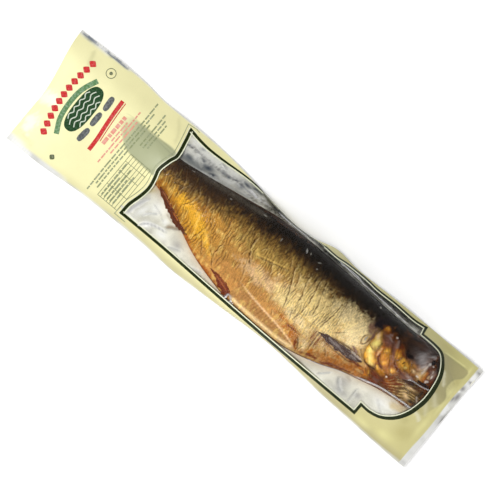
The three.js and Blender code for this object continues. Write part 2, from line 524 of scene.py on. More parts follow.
back_sheet = skin_of_cells(
    "back_foil_sheet", foil_along, foil_across, foil_height,
    fields={
        "above_tail": above_tail,
        # Painted highlights on the crumples of the foil above the tail.
        "crumple": above_tail * ease(small_folds, 0.5, 0.95),
        "crinkle": crinkled * ease(fine_folds, 0.35, 0.85),
        # Painted dark reflections: blue-grey patches where the silver foil above the tail mirrors a dark
        # room.
        "slate": glows(
            on_foil, (128, 30, 6, 2.4, 0), (144.5, 33.2, 6.5, 3.2, 10), (151, 31.4, 5, 2, 12),
            (138, 35.4, 3, 1.8, 0), (162.4, 38.2, 2.8, 1.6, 0), (157, 38.4, 3.4, 1.5, 0),
            (174.4, 39.2, 3, 2.8, 20), (177, 42.8, 6.5, 1.8, 0), (132, 42, 2.2, 1, 0),
            (168, 40.6, 4, 1.3, 0), (121.6, 37.4, 1.6, 1.4, 0), (186, 44.4, 6, 1, 0),
        ),
        "fold_shade": strokes((foil_along + SHADE_BESIDE, foil_across + SHADE_BESIDE), *thin_folds),
        "fold_light": strokes((foil_along - LIGHT_BESIDE, foil_across - LIGHT_BESIDE), *thin_folds),
        # Painted shade: the foil darker along the fish's back.
        "by_back": strokes(
            on_foil, ([(114, 27), (130, 28), (146, 30)], 3.0, 1.0),
            ([(152, 30.4), (165, 32), (176, 34.2), (190, 37.6)], 1.1, 0.45),
        ),
        "by_belly": np.exp(-np.maximum(fish_belly(foil_along) - foil_across, 0) / 3.2) * (foil_across < 0),
        # Painted shade: the foil seen through the film beside the fish's back, in the fish's shadow.
        "beside_back": spots(on_foil, (309, 43, 58, 4.6, 0), (222, 42, 34, 3.6, 4)),
        # Painted shade: soft grey patches on the foil beside the fish.
        "dull": glows(
            on_foil, (338, -29, 6, 6, -50), (341, -36, 8, 3, 0), (354, -30, 4, 3, 0),
            (165.5, -30.5, 4.5, 4, -30), (120.5, -24, 2, 10, -14), (118, -33, 2, 5, 0),
        ),
        "smudge": strokes(
            on_foil, ([(161, -17.6), (156, -20.2), (152, -22.4), (148.6, -25.4)], 1.7, 1.0),
            ([(142, -15.6), (147, -17.6), (153, -18.6)], 1.1, 0.5), ([(337, -23), (343, -24.6)], 1.4, 0.4),
        ),
        "warm": spots(on_foil, (385, -16, 8, 3, 20)),
        "olive_fold": glows(on_foil, (121, -9.6, 6, 2.6, 42)),
        # Painted highlights: pale patches where the silver foil catches the light.
        "pale": glows(
            on_foil, (127, 43.4, 7, 1.4, 0), (131.6, 38.4, 3.4, 1.5, 0), (142.5, 40, 7, 1.7, 0),
            (132, 33.4, 2, 2.6, -16), (164, 34.8, 4.6, 1.6, 10), (150, 40.8, 5, 1.6, 0),
            (145, 37.8, 3, 0.9, 0), (157, 42.8, 4.4, 1.3, 0), (165, 43.2, 5, 1.3, 0),
            (160.5, 34.6, 5, 1.7, 8), (166, 36.2, 5, 1.7, 12), (182.5, 36.8, 7, 1.2, 14),
            (136, 40.2, 5, 1.3, 0), (187.4, 40.6, 4, 1.8, 0), (120.6, 31.4, 1.4, 2.8, 0),
            (135, 32.6, 1.2, 2.6, -14), (373, -22, 9, 5, 0), (134, -18, 6, 7, -30), (136, -33, 4, 3.4, 0),
            (150, -32, 6, 3, 0), (126, -27, 3, 9, -20), (146, -22, 3, 3, 0),
        ),
    },
)

foil, flow = new_material("silver_laminate")
dents = flow.noise(0.07, detail=3.0)
grain = flow.noise(0.9, detail=3.0)
colour = flow.coats(
    dents.ease(0.35, 0.65).paint(tone(216, 214, 200), tone(242, 240, 226)),
    above_tail=(255, 254, 246), slate=(74, 86, 102), crumple=(250, 250, 244), pale=(255, 255, 250),
    crinkle=(62, 60, 66), dull=(184, 182, 176), olive_fold=(200, 188, 140), warm=(222, 205, 160),
    by_back=(140, 146, 148, 0.8), by_belly=(222, 196, 160, 0.7), fold_light=(255, 255, 250, 0.7),
    fold_shade=(136, 137, 140, 0.8), smudge=(150, 132, 106),
)
# Beside the back the foil is painted dark, ribbed grey-olive, as shade under the film.
ribs = flow.noise(0.7, detail=1.0, stretch=(0.6, 4, 1))
beside = ribs.ease(0.35, 0.65).paint(tone(62, 60, 54), tone(150, 144, 122))
colour = flow.field("beside_back").paint(colour, beside)
flow.surface(
    Base_Color=grain.shaded(colour, 0.92, 1.05),
    Metallic=0.08,
    Roughness=0.36 + 0.14 * grain,
    Normal=(dents + 0.08 * grain).bump(0.4, 0.8),
)
belongs(back_sheet, foil)


# ------------------------------------------------------------------------------------------ the fish's body
# One herring, gutted, salted and smoked whole. Its skin is near black on the back and gold on the flank, and
# it has gone leathery: dried scales, wrinkles across the flank, and a cut along the belly with its ribs.

FILM_GAP = 0.9
BODY_TAIL_END = 96.0
BODY_FRONT_END = 363.0
BODY_CELL = 0.5
BODY_TOP_LINES = 150
BODY_UNDER_LINES = 26
SCALE_PITCH = 2.7
RIB_PITCH = 2.7
UNDER_HEAD_GAP = 0.02


def roundness(share):
    """Upper outline of a cut across the fish: 0 at its back and its belly, and 1 on its ridge."""
    from_ridge = np.where(
        share < RIDGE_SHARE, (RIDGE_SHARE - share) / RIDGE_SHARE, (share - RIDGE_SHARE) / (1 - RIDGE_SHARE)
    )
    from_ridge = np.clip(from_ridge, 0, 1)
    return np.where(share < RIDGE_SHARE, np.sqrt(1 - from_ridge**2), (1 - from_ridge**1.8) ** 0.72)


def side_share(along, across):
    """The share of the way from the fish's back to its belly at which a place lies."""
    return (fish_back(along) - across) / (fish_back(along) - fish_belly(along))


def drawn_on(along, share):
    """Height of the front film where it is drawn tight on the plain form of the fish."""
    rise = np.where(share < RIDGE_SHARE, BACK_WELD_RISE, BELLY_WELD_RISE)
    weld = rise * (standing(along) - WELD) + WELD
    return lerp(weld, standing(along), roundness(share))


# Rear edge of the gill cover: its place along the fish for each share of the way round the side.
gill_rear = through(
    (0, 349), (0.08, 340), (0.16, 335.4), (0.25, 333.2), (0.36, 332.4), (0.48, 332.4), (0.58, 333.2),
    (0.67, 335.4), (0.74, 338.8), (0.8, 342.4), (0.88, 344.5), (1, 345),
)


def ring(top_lines, under_lines):
    """Shares round the fish: from belly to back over its top, and from back to belly under it."""
    top = 0.5 - 0.5 * np.cos(math.pi * np.linspace(0.92, 0.08, top_lines))
    top = (top - top.min()) / (top.max() - top.min())
    return top, np.linspace(0, 1, under_lines + 2)[1:-1]


column = np.arange(BODY_TAIL_END, BODY_FRONT_END, BODY_CELL)[:, None]
top_share, under_share = ring(BODY_TOP_LINES, BODY_UNDER_LINES)
top_across = lerp(fish_back(column), fish_belly(column), top_share)
top_along = np.broadcast_to(column, top_across.shape)
on_body = (top_along, top_across)
skin_height = drawn_on(column, top_share) - FILM_GAP
from_gill = gill_rear(top_share) - top_along
under_gill = ease(-from_gill, 0, 2)

WRINKLES = (
    ([(211.4, 18), (211, 11), (212, 6.4), (216, 0.5), (220.8, -5.6)], 0.8, 1.0),
    ([(212, 5), (210.4, 0), (210, -3)], 0.45, 0.5), ([(217.4, 3.2), (232, 7.2), (246.4, 11.2)], 0.5, 0.8),
    ([(249, 22), (250.5, 14), (254, 7), (258, -2), (263, -16)], 0.55, 1.0),
    ([(255, 16), (258, 9), (259, 4)], 0.5, 0.8), ([(262, 23), (264, 13), (267.5, 3), (269, -6)], 0.6, 1.0),
    ([(270, -2), (269, -10), (272, -18)], 0.45, 0.6),
    ([(271, 24), (274, 10), (276, -3), (274, -18)], 0.55, 0.9),
    ([(276, 25), (279, 14), (282, 6), (284, -4)], 0.55, 0.9), ([(284, 15), (287, 4), (285, -7)], 0.4, 0.7),
    ([(295, 22), (297, 16), (296.5, 6), (294.5, -8)], 0.55, 1.0),
    ([(296, 14), (294, 4), (294, -6)], 0.4, 0.7), ([(278, 22), (286, 25), (292, 26)], 0.5, 0.8),
    ([(232, 9), (236, 3), (237, -1)], 0.5, 0.8), ([(240, 7), (243, 1)], 0.45, 0.6),
    ([(228, -9), (229, -13), (227.5, -17)], 0.5, 0.8), ([(217, -6), (221, -14), (223, -22)], 0.5, 0.6),
    ([(256, -20), (259, -25)], 0.45, 0.7), ([(266, -18), (267, -25)], 0.45, 0.6),
    ([(136, 17), (138.5, 10), (139, 3), (139.3, -2)], 0.6, 1.0),
    ([(142, 16), (141, 11), (138.5, 9), (129, 6.5)], 0.45, 0.7),
    ([(150, 17), (153, 12), (152, 4), (148, -3)], 0.5, 0.8), ([(160, 16), (163.5, 9), (165, 0)], 0.5, 0.8),
    ([(170, 8), (173, 3), (178, -2)], 0.45, 0.7), ([(174, -3), (173, -9), (171, -17)], 0.5, 0.8),
    ([(175, -11), (180, -17), (185, -24)], 0.45, 0.8), ([(124, 10), (131, 11.5), (140, 14)], 0.4, 0.6),
    ([(157, 10), (155, 4), (151, 1)], 0.4, 0.7), ([(168, 12), (172, 6), (177, 3)], 0.4, 0.6),
    ([(180, -6), (188, -15), (194, -19)], 0.35, 0.7), ([(196, -21), (190, -17), (184, -14)], 0.35, 0.6),
    ([(178, -19), (186, -18), (196, -20)], 0.35, 0.5), ([(201, 22), (206, 15)], 0.35, 0.5),
    ([(223, 16), (219, 9)], 0.35, 0.6), ([(243, 20), (246, 14)], 0.35, 0.7),
    ([(289, 20), (290, 12), (288, 8)], 0.4, 0.8), ([(268, 21), (270, 15)], 0.4, 0.7),
    ([(193, -3), (192.5, -11), (193.5, -20), (198, -26)], 0.55, 1.0), ([(187, 12), (188, 4)], 0.4, 0.5),
    ([(201, 12), (200, 3)], 0.4, 0.5), ([(313, 3), (310, 0), (306, -3)], 0.7, 0.8),
    ([(286, -24), (290, -28), (292, -34)], 0.7, 1.0), ([(297, -9), (297.5, -18), (299, -28)], 0.6, 0.9),
    ([(294, -27), (293, -33)], 0.5, 0.8), ([(308, -16), (314, -23)], 0.7, 0.6),
)
# Wrinkles are drawn a little thinner than listed and shaken. Each has a pale lip on the side of the head.
THINNED = 0.88
SHAKE = 0.9
LIP_BESIDE = 1.0
shaken = [place + SHAKE * (lumps(on_body, 1.8, 1.8, seed) - 0.5) for place, seed in zip(on_body, (17, 18))]
thin_wrinkles = [(points, THINNED * width, share) for points, width, share in WRINKLES]
# The wrinkles are cut in and painted dark, partly as painted shade in their creases.
wrinkle = strokes(shaken, *thin_wrinkles)
wrinkle *= lerp(0.5, 1, ease(lumps(on_body, 1.6, 1.6, 16), 0.2, 0.6))
# The pale lip beside each wrinkle is a painted highlight.
lip = strokes((shaken[0] - LIP_BESIDE, shaken[1]), *thin_wrinkles) * (1 - wrinkle)
lip *= lerp(0.35, 1, ease(top_along, 190, 250))
# Pale streaks on the skin are painted highlights where creases in the film catch the light. They are cut in
# a little too.
SCRATCHES = (
    ([(217, 4.9), (232, 8.9), (246, 12.9)], 0.45, 0.8),
    ([(271, -6.5), (278, -9), (288, -9.5), (295, -9)], 0.5, 0.8),
    ([(272, 2), (276, 0), (281, -1)], 0.4, 0.7),
)
scratch = strokes(on_body, *SCRATCHES)
BELLY_CUT = [(224, -20), (235, -22.5), (250, -25), (265, -27), (280, -30), (288, -32.5), (291, -34)]
cut = strokes(on_body, (BELLY_CUT, 0.8, 1.0))
cut_across = through(*BELLY_CUT)(top_along)
flap = ease(top_along, 220, 226) * fall(top_along, 286, 291)
flap *= ease(cut_across - top_across, -0.3, 0.6)
rib_wander = 0.5 * lumps(on_body, 5, 5, 25)
ribs = 0.5 + 0.5 * np.sin(2 * math.pi * ((top_along - 0.3 * top_across) / RIB_PITCH + rib_wander))
ribs = ribs**2 * lerp(0.3, 1, lumps(on_body, 2.5, 3, 26))
from_rim = top_across - fish_belly(top_along)
ribbed = flap * ease(from_rim, 4.6, 6.2)
torn = spots(on_body, (280, -25.5, 8.5, 3.6, -12))


def pleats(along, across, pitch, length, seed):
    """Thin creases across the fish, about one pitch apart. They waver, break off and start again."""
    wander = 1.6 * value_noise(along / 11, across / 8, seed)
    wander += 0.55 * value_noise(along / 2.6, across / 2.8, seed + 1)
    held = ease(value_noise(along / (1.7 * pitch), across / length, seed + 2), 0.25, 0.7)
    return held * (0.5 + 0.5 * np.cos(2 * math.pi * (along / pitch + wander))) ** 4


# Thin wrinkles run across the whole flank. They lie closest together on its front half.
tail_half = fall(top_along, 200, 245)
lean = top_along + 0.16 * top_across
coarse = pleats(lean, top_across, 2.5, 6, 11)
fine = pleats(lean + 0.1 * top_across, top_across, 1.55, 4, 15)
CLOSE_PITCH = 2.3
little_lean = top_along + 0.1 * top_across
close_set = pleats(little_lean, top_across, CLOSE_PITCH, 9, 23)
between = pleats(little_lean + 1.1, top_across, CLOSE_PITCH, 9, 23)
pleated = spots(on_body, (282, 5, 24, 20, 0))
pleated += 0.6 * spots(on_body, (247, 2, 22, 16, 0))
pleated = np.clip(pleated, 0, 1)
netting = ease(folds(lean / 2.1, top_across / 3.6, 19), 0.7, 0.95)
# The creases are cut into the skin and painted darker as well, partly as painted shade.
crack = coarse * lerp(0.35, 1, tail_half) + 0.6 * fine + 0.35 * netting + 1.3 * close_set * pleated
crack = np.clip(crack, 0, 1) * ease(top_across, -27, -19) * (1 - 0.75 * ease(top_along, 300, 312))
# Painted highlights on the swollen ridges of the skin, and between close pleats where light catches them.
swell = value_noise(lean / 1.9, top_across / 4.5, 27)
gleam = np.maximum(ease(swell, 0.55, 0.9), between * pleated) * (1 - crack)


def scale_edges(along, across):
    """Rows of overlapping scales, 1 along each scale's rear edge."""
    row = across / (0.8 * SCALE_PITCH)
    step = along / SCALE_PITCH + 0.5 * (np.floor(row) % 2)
    u = step - np.floor(step) - 0.5
    v = row - np.floor(row) - 0.5
    return bell(np.hypot(u + 0.42, v) - 0.5, 0.13)


warp = 1.2 * lumps(on_body, 9, 9, 51)
scales = scale_edges(top_along + warp, top_across - warp)
dark_from = through(
    (100, 20), (130, 21), (150, 22.5), (170, 24), (190, 26.5), (210, 28), (250, 29), (290, 28.5),
    (340, 27.5),
)
above = top_across - dark_from(top_along)
lower = above + 4.5 * fall(top_along, 155, 190)
speckle = lumps(on_body, 1.6, 2.6, 31)
speckle += lumps(on_body, 5, 4, 32)
streaks = lumps(on_body, 1.1, 3.0, 34)
dark = ease(above + 5 * (speckle - 1) + 4 * (streaks - 0.5), -5, 4.5)
freckles = ease(lumps(on_body, 0.9, 1.8, 33), 0.5, 0.85)
freckles *= bell(above + 8, 6) * lerp(1, 0.55, ease(top_along, 285, 310))

relief = 0.22 * lumps(on_body, 3.5, 3.5, 61)
relief += (0.08 * scales + 0.22 * swell) * (1 - 0.8 * dark)
relief -= 0.42 * crack + 0.55 * wrinkle + 0.35 * scratch - 0.35 * cut
relief += 0.3 * ribs * np.maximum(ribbed, torn) - 0.5 * torn + 0.35 * flap
top_height = skin_height + relief * ease(from_rim, 0, 2) - 0.8 * under_gill

under_across = lerp(fish_back(column), fish_belly(column), under_share)
under_height = under_side(column, under_share) + FOIL_GAP + UNDER_HEAD_GAP


def fish_piece(name, top, under, fields):
    """A closed piece of the fish. top and under are its places along and across with their heights, and
    fields are those of its top."""
    shape = under[1].shape
    rings = [np.concatenate([over, np.broadcast_to(low, shape)], axis=1) for over, low in zip(top, under)]
    fields = {
        field: np.concatenate([values, np.full(shape, values.mean())], axis=1)
        for field, values in fields.items()
    }
    return skin_of_cells(name, *rings, tube=True, fields=fields)


# Where the belly cut ends, the skin is drawn up in a pale notch.
notch = spots(on_body, (293, -27, 4.2, 4.4, 0))
olive_from = lerp(-18, -13, ease(top_along, 290, 310))
amber_reach = 0.8 * ease(top_along, 170, 205) * fall(top_along, 262, 290)
streaked = lumps(on_body, 0.9, 4, 35)
gill_shadow = 0.4 * bell(from_gill, 1.1)
gill_shadow *= ease(top_share, 0.25, 0.4) * fall(top_share, 0.7, 0.8)
RING = [(328.5, 14), (326.3, 11), (326.2, 7), (328, 4), (330.2, 6), (330.8, 10), (329.5, 13.6)]
body_fields = {
    "olive": ease(lower + 6 * (speckle - 1) + 3 * (streaks - 0.5), olive_from, -8),
    "umber": ease(lower + 5 * (speckle - 1) + 4 * (streaks - 0.5), -10, -1.5),
    "bright": spots(on_body, (150, -0.5, 12, 5, -12), (168, -7, 14, 6, -30), (184, -15, 14, 3, -28)),
    # Painted highlight: a soft rosy sheen along the lower flank.
    "rosy": 0.75 * spots(on_body, (234, -7, 24, 6, -2), (302, -12, 9, 6, 0), (254, -4, 14, 9, 0)),
    # Pale straw skin on the ridge, partly a painted highlight.
    "straw": spots(on_body, (284, 0, 28, 19, 0), (262, -8, 17, 9, -20), (302, 12, 18, 11, 0)),
    "olive_gold": 0.75 * spots(on_body, (222, 11, 34, 9, 3), (300, 20, 26, 5, 0)),
    "tail_brown": np.maximum(
        0.55 * glows(on_body, (165, 7, 9, 3.4, 0)),
        0.85 * glows(on_body, (122, -1, 4, 5, 0), (131, -4, 11, 4, -20), (144, -8, 10, 3, -24)),
    ),
    # Pale cream skin on the shoulder, partly a painted highlight, and the pale notch at the cut's end.
    "cream": np.maximum(
        spots(on_body, (318, 9.5, 13, 14.5, 0), (308, 15, 15, 9, 0), (276, -14, 11, 3.4, -4)),
        0.9 * notch,
    ),
    "amber": amber_reach * ease(-top_across + 5 * (speckle - 1), 12, 19),
    "rust": spots(
        on_body, (322, -20, 23, 7, 25), (338, -15, 16, 6, 14), (278, -25, 9, 4, -12), (286, -28, 3, 7, 30),
        (314, -24, 8, 3, 24), (299, -28, 12, 4, 25), (272, -20.5, 18, 1.6, -4), (292, -32.5, 6, 1.6, 10),
    ) * lerp(0.6, 1, streaks) * (1 - 0.9 * notch),
    "ember": spots(
        on_body, (303, -29.6, 8, 1.2, 16), (318, -26, 9, 1.2, 24), (331, -21.4, 8, 1.2, 18),
        (336, -11, 8, 1.3, 8), (287.5, -29, 1.4, 6, 30), (278, -21.8, 8, 0.8, -2), (345, -13, 5, 1.6, 15),
        (300, -17, 1.1, 6, 0), (295, -16, 0.8, 6, 0),
    ),
    "peach": spots(
        on_body, (310, -15, 6, 2.2, -20), (291.5, -28, 2.6, 3.6, 0), (327, -14, 5, 1.6, 0),
        (297.7, -20, 1.4, 8, 0), (318, -19, 5, 1.2, 20), (342, -14, 4, 1.2, 10), (304, -22, 1.4, 4, 0),
        (302.5, -14, 1.2, 4, 0),
    ),
    "belly_streak": ease(streaked, 0.4, 0.8) * ease(top_along, 284, 294) * fall(top_across, -12, -7),
    "belly_strip": flap * ease(from_rim, 1.0, 2.2),
    "bright_rim": flap * bell(from_rim - 3.4, 1.6) * ease(top_along, 222, 228),
    "cut": cut,
    "orange_rim": fall(from_rim + 2 * (speckle - 1), 0.8, 3.5) * fall(top_along, 200, 222),
    "dark_rim": fall(from_rim, 0.2, 1.3) * ease(top_along, 140, 210),
    "rib": ribs * np.maximum(ribbed, torn),
    "gleam": gleam * (1 - dark) * fall(top_along, 290, 330) * lerp(1, 0.3, ease(lower, -14, -4)),
    "crack": crack * (1 - dark),
    "scale": scales * (1 - dark) * ease(above, -20, -6),
    "freckle": freckles,
    "wrinkle": wrinkle,
    "lip": lip * (1 - dark),
    "scratch": scratch,
    "plum": spots(on_body, (327.5, 19.5, 4.5, 5.5, 0), (331.2, 14, 1.3, 6, 0), (328, -2.4, 4.5, 1.4, -10)),
    "shoulder": spots(on_body, (329.5, 26, 4.5, 4.5, 0), (333, 31, 3.5, 3.5, 0)),
    "gill_shadow": gill_shadow,
    # A ring mark on the shoulder, and painted shadow along the breast fin's upper and lower edges.
    "ring_mark": strokes(
        on_body, (RING, 0.5, 0.9),
        ([(338, -5.2), (330, -5), (322, -4.8), (314, -6.2), (306, -7)], 1.2, 0.9),
        ([(330, 1.4), (333, -1.6), (337, -4.6)], 0.5, 0.7),
        ([(300, -12.2), (306, -13.6), (322, -13.6), (330, -13.2), (337, -8.6)], 0.6, 0.8),
    ),
    "back": dark,
    "dorsal_brown": np.maximum(
        spots(on_body, (218, 38.5, 24, 1.8, 2), (337, 27, 4, 3, 0)),
        strokes(on_body, ([(160, 30.2), (175, 33), (190, 35.6), (202, 37)], 0.8, 0.8)),
    ),
    "sheen": strokes(
        on_body, ([(138, 25), (155, 27), (172, 29.6), (190, 32), (212, 34)], 2.2, 0.75),
        ([(126, 24.4), (134, 25.2)], 0.8, 0.5),
    ) * lerp(0.3, 1, streaks),
    "glint": spots(
        on_body, (138, 24, 1.6, 0.5, 10), (150, 28, 1.2, 0.4, 20), (175, 26, 1, 0.6, 0),
        (205, 33.5, 2.2, 0.5, 0), (248, 33.2, 0.6, 1.6, 25), (252, 33, 0.5, 1, 20), (262, 32, 1.4, 0.5, 30),
        (263.5, 27, 1, 0.7, 0), (227, 26.5, 0.5, 1.2, 0), (322, 36, 1.1, 0.7, 0), (349, 36, 1.4, 0.5, 0),
        (328.6, 10, 0.9, 2.6, 0),
    ),
}
body = fish_piece(
    "herring_body", (*on_body, top_height), (column, under_across, under_height), body_fields
)

skin, flow = new_material("smoked_skin")
along_flow = flow.place(0) + ORIGIN_ALONG
mottle = flow.noise(0.3, detail=4.0)
pores = flow.noise(0.8, detail=2.0, stretch=(1, 1.5, 1))
tail_gold = along_flow.ease(150, 215).paint(tone(210, 152, 50), tone(192, 144, 76))
flank = flow.coats(
    along_flow.ease(225, 280).paint(tail_gold, tone(206, 170, 106)),
    olive_gold=(178, 148, 78), olive=(148, 114, 56), umber=(76, 54, 36), bright=(238, 182, 56),
    rosy=(238, 202, 156), straw=(248, 222, 156), cream=(254, 232, 178), amber=(208, 152, 84),
    rust=(186, 106, 20), ember=(126, 60, 22), peach=(206, 162, 98), belly_strip=(190, 142, 84),
    orange_rim=(180, 104, 42), bright_rim=(255, 226, 172), cut=(255, 216, 164), tail_brown=(140, 84, 30),
    plum=(140, 106, 88), gleam=(255, 224, 130, 0.4), rib=(138, 80, 34, 0.5),
    belly_streak=(140, 84, 44, 0.45), crack=(84, 54, 22, 0.76), lip=(255, 232, 168, 0.55),
    scale=(74, 54, 28, 0.4), freckle=(60, 42, 26, 0.7), back=(33, 26, 19), shoulder=(40, 30, 36),
    sheen=(124, 116, 100), dorsal_brown=(118, 72, 40), dark_rim=(112, 60, 28), wrinkle=(72, 42, 16),
    scratch=(220, 184, 102), gill_shadow=(70, 42, 28), ring_mark=(88, 54, 28), glint=(180, 176, 166),
)
# The back is browner towards the tail, where it is thin.
thin_back = flow.field("back") * (1 - along_flow.ease(130, 235))
flank = (thin_back * 0.55).paint(flank, tone(84, 66, 54))
flow.surface(
    Base_Color=pores.shaded(mottle.shaded(flank, 0.78, 1.2), 0.68, 1.34),
    Metallic=0.15,
    Specular_IOR_Level=0.06,
    Roughness=0.32 + 0.2 * mottle,
    Normal=((mottle + 0.3 * pores) * (1 - flow.field("back") * 0.6)).bump(0.45, 0.5),
)
belongs(body, skin)


# ------------------------------------------------------------------------------------------ the fish's head
# The head with its gill cover, whose free rear edge lies on the body. It is bare bone and thin skin, smoked
# to brown and brass: a crown, a clouded eye, a cheek, an upper jaw closed on the lower one.

SNOUT_TIP = 397.3
SNOUT_LINE = 9.0
SNOUT_ROUND = 15.0
GILL_STANDS = 1.3
HEAD_COLUMNS = 230
HEAD_TOP_LINES = 190
HEAD_UNDER_LINES = 24
EYE = (374.8, 24.6)
EYE_HALF_LENGTH = 6.0
EYE_HALF_WIDTH = 7.2
ORBIT = (*EYE, 7.4, 8.6, 0)
JAW_LINE_PITCH = 2.9
RAY_PITCH = 1.3
GILL_LINES = 56
GILL_MIDDLE = (362, 27)


def gill_cover(from_rear, along, share, softness):
    """How far the gill cover stands out of the fish's plain form."""
    plate = ease(from_rear, -softness, softness) * fall(along, 358, 378)
    return GILL_STANDS * plate * ease(share, 0.2, 0.38) * fall(share, 0.72, 0.9)


def eyeball(along, across, grow):
    u = (along - EYE[0]) / (EYE_HALF_LENGTH + grow)
    v = (across - EYE[1]) / (EYE_HALF_WIDTH + grow)
    return np.sqrt(np.clip(1 - u**2 - v**2, 0, 1))


def snout_close(along):
    """1 along the fish, falling to 0 at its snout in an arc."""
    beyond = np.clip((along - (SNOUT_TIP - SNOUT_ROUND)) / SNOUT_ROUND, 0, 1)
    return (1 - beyond**2.6) ** 0.5


def snout_height(along):
    """Height of the line on which the head's two sides close at the snout."""
    return 0.5 * (BACK_WELD_RISE + BELLY_WELD_RISE) * (standing(along) - WELD) + FOIL_GAP


top_share, under_share = ring(HEAD_TOP_LINES, HEAD_UNDER_LINES)
steps = np.linspace(0, 1, HEAD_COLUMNS)[:, None]


def head_ring(share):
    """Places along and across of the head's lines, from the gill cover's rear edge to the snout."""
    along = lerp(gill_rear(share), SNOUT_TIP - 0.02, steps)
    close = snout_close(along)
    back = lerp(SNOUT_LINE, fish_back(along), close)
    belly = lerp(SNOUT_LINE, fish_belly(along), close)
    return along, lerp(back, belly, share), close


top_along, top_across, close = head_ring(top_share)
on_head = (top_along, top_across)
plain_share = np.clip(side_share(top_along, top_across), 0, 1)
from_rear = top_along - gill_rear(top_share)
plain = drawn_on(top_along, plain_share) - FILM_GAP
plate = gill_cover(from_rear, top_along, plain_share, 0.6)

GROOVES = (
    ([(345.5, 25), (348.6, 19.5), (351, 14.6), (355.5, 6.6), (360, 1.5), (366, -1)], 0.9, 0.9),
    ([(350.5, 26.5), (353.6, 21.5), (356.4, 14), (359, 9), (364, 7), (373, 6.4)], 0.7, 0.8),
    ([(341, 17), (340.6, 12), (341.4, 7), (345, 1.4)], 0.6, 0.8),
    ([(344.6, 8.6), (346, 4), (351.5, 0.2), (357, -0.4)], 0.8, 1.0),
    ([(352, 34), (362, 36), (374, 35)], 0.6, 0.5), ([(354, 29.5), (364, 31), (371, 33)], 0.6, 0.5),
    ([(347.6, -1.8), (350.6, -5), (356, -6.6), (364, -8)], 0.7, 0.8),
    ([(350, -10), (360, -11), (368, -10.5)], 0.5, 0.6), ([(383.5, 24), (382.6, 18), (383.2, 13)], 0.6, 0.6),
    ([(386.6, 23), (386.2, 18), (386.8, 12.6)], 0.6, 0.7),
    ([(333.4, 8.1), (335.6, 7.2), (338.4, 6.5)], 0.5, 0.8),
    ([(361.2, 16.4), (359.4, 13), (358.7, 11.4)], 0.5, 0.8), ([(364.4, 15.4), (363.4, 12.4)], 0.5, 0.8),
    ([(343, -8), (345, -10), (346.6, -12.6)], 0.5, 0.8),
    ([(346.4, -7), (348.6, -9.4), (350.4, -12)], 0.5, 0.7),
    ([(358.5, 9), (362, 7.6), (367, 8.4)], 0.5, 0.6), ([(373.6, 14.4), (374, 9)], 0.7, 0.6),
    ([(361.6, 20.6), (363.8, 17.6)], 0.45, 0.9), ([(366.4, 19), (368.2, 15.4)], 0.45, 0.9),
    ([(369.8, 18), (370.4, 14.6), (372, 12.6)], 0.45, 0.8), ([(364.4, 15.4), (367, 12.2)], 0.4, 0.8),
    ([(350.6, 13), (352, 9.6), (352, 6)], 0.45, 0.7), ([(357, -1.6), (361, -2.4), (364.6, -1.6)], 0.5, 0.8),
    ([(343.6, -6), (349.6, -6.8), (355, -8.2)], 0.5, 0.7),
    ([(354.6, 28), (357.6, 24.6), (361, 22.6)], 0.6, 0.7),
    ([(364, 29), (369.6, 31.4), (376, 32)], 0.6, 0.6),
)
MOUTH = [(397, 10.5), (390, 9.8), (383, 8.2), (377, 5.2), (371, 2.5)]
UPPER_JAW = [(395, 14), (387, 12), (379, 9.5), (372, 7)]
groove = strokes(on_head, *GROOVES)
mouth = strokes(on_head, (MOUTH, 0.8, 1.0))
upper_jaw = strokes(on_head, (UPPER_JAW, 2.0, 1.0))
lower_jaw = spots(on_head, (380, -2.5, 17, 8, 12))
rays = spots(on_head, (355, -9, 12, 3.6, -10))
jaw_wave = 0.5 * (top_along - 360) - 0.014 * (top_along - 376) ** 2
jaw_wave += 3.2 * lumps(on_head, 8, 5, 83)
jaw_lines = 0.5 + 0.5 * np.sin(2 * math.pi * (top_across - jaw_wave) / JAW_LINE_PITCH)
ray_lines = 0.5 + 0.5 * np.sin(2 * math.pi * (top_across + 0.25 * top_along) / RAY_PITCH)
gill_angle = np.arctan2(top_across - GILL_MIDDLE[1], GILL_MIDDLE[0] - top_along)
gill_lines = 0.5 + 0.5 * np.sin(GILL_LINES * gill_angle)
on_gill = ease(from_rear, 1, 4) * fall(top_along, 352, 362) * ease(plain_share, 0.15, 0.35)
orbit = bell(from_middle(*on_head, ORBIT) - 1, 0.1)
nostril = spots(on_head, (386.5, 30.5, 1.2, 0.9, 0))
leather = lumps(on_head, 2.2, 2.2, 81) + 0.5 * value_noise(*on_head, 82)

relief = 0.35 * leather - 0.42 * groove - 0.8 * mouth + 0.45 * upper_jaw - 0.7 * nostril
relief += 0.3 * jaw_lines * lower_jaw + 0.25 * ray_lines * rays + 0.1 * gill_lines * on_gill
relief += 0.9 * eyeball(top_along, top_across, 0) - 0.45 * orbit
relief = relief * close * fall(np.abs(plain_share - 0.5), 0.42, 0.5)
rolled = ease(from_rear, 0, 1.1)
full = plain + plate + relief - 0.25
rim_height = plain - 0.9 + 0.5 * ease(plain_share, 0.3, 0.4)
top_height = lerp(snout_height(top_along), lerp(rim_height, full, rolled), close**0.7)
under_along, under_across, under_close = head_ring(under_share)
under_plain = under_side(under_along, under_share) + FOIL_GAP
under_height = lerp(snout_height(under_along), under_plain, under_close**0.7)

# Soft colours on the head are drawn out of shape by half of this, and a little larger than listed.
BLUR = 2.2
GROWN = 1.12
blurred = [place + BLUR * (lumps(on_head, 4.5, 4.5, seed) - 0.5) for place, seed in zip(on_head, (43, 44))]


def painted(ovals, lines=()):
    """Where a colour shows softly on the head: in any of the ovals and along any of the lines."""
    grown = [(x, y, GROWN * length, GROWN * width, turn) for x, y, length, width, turn in ovals]
    return np.maximum(glows(blurred, *grown), strokes(on_head, *lines))


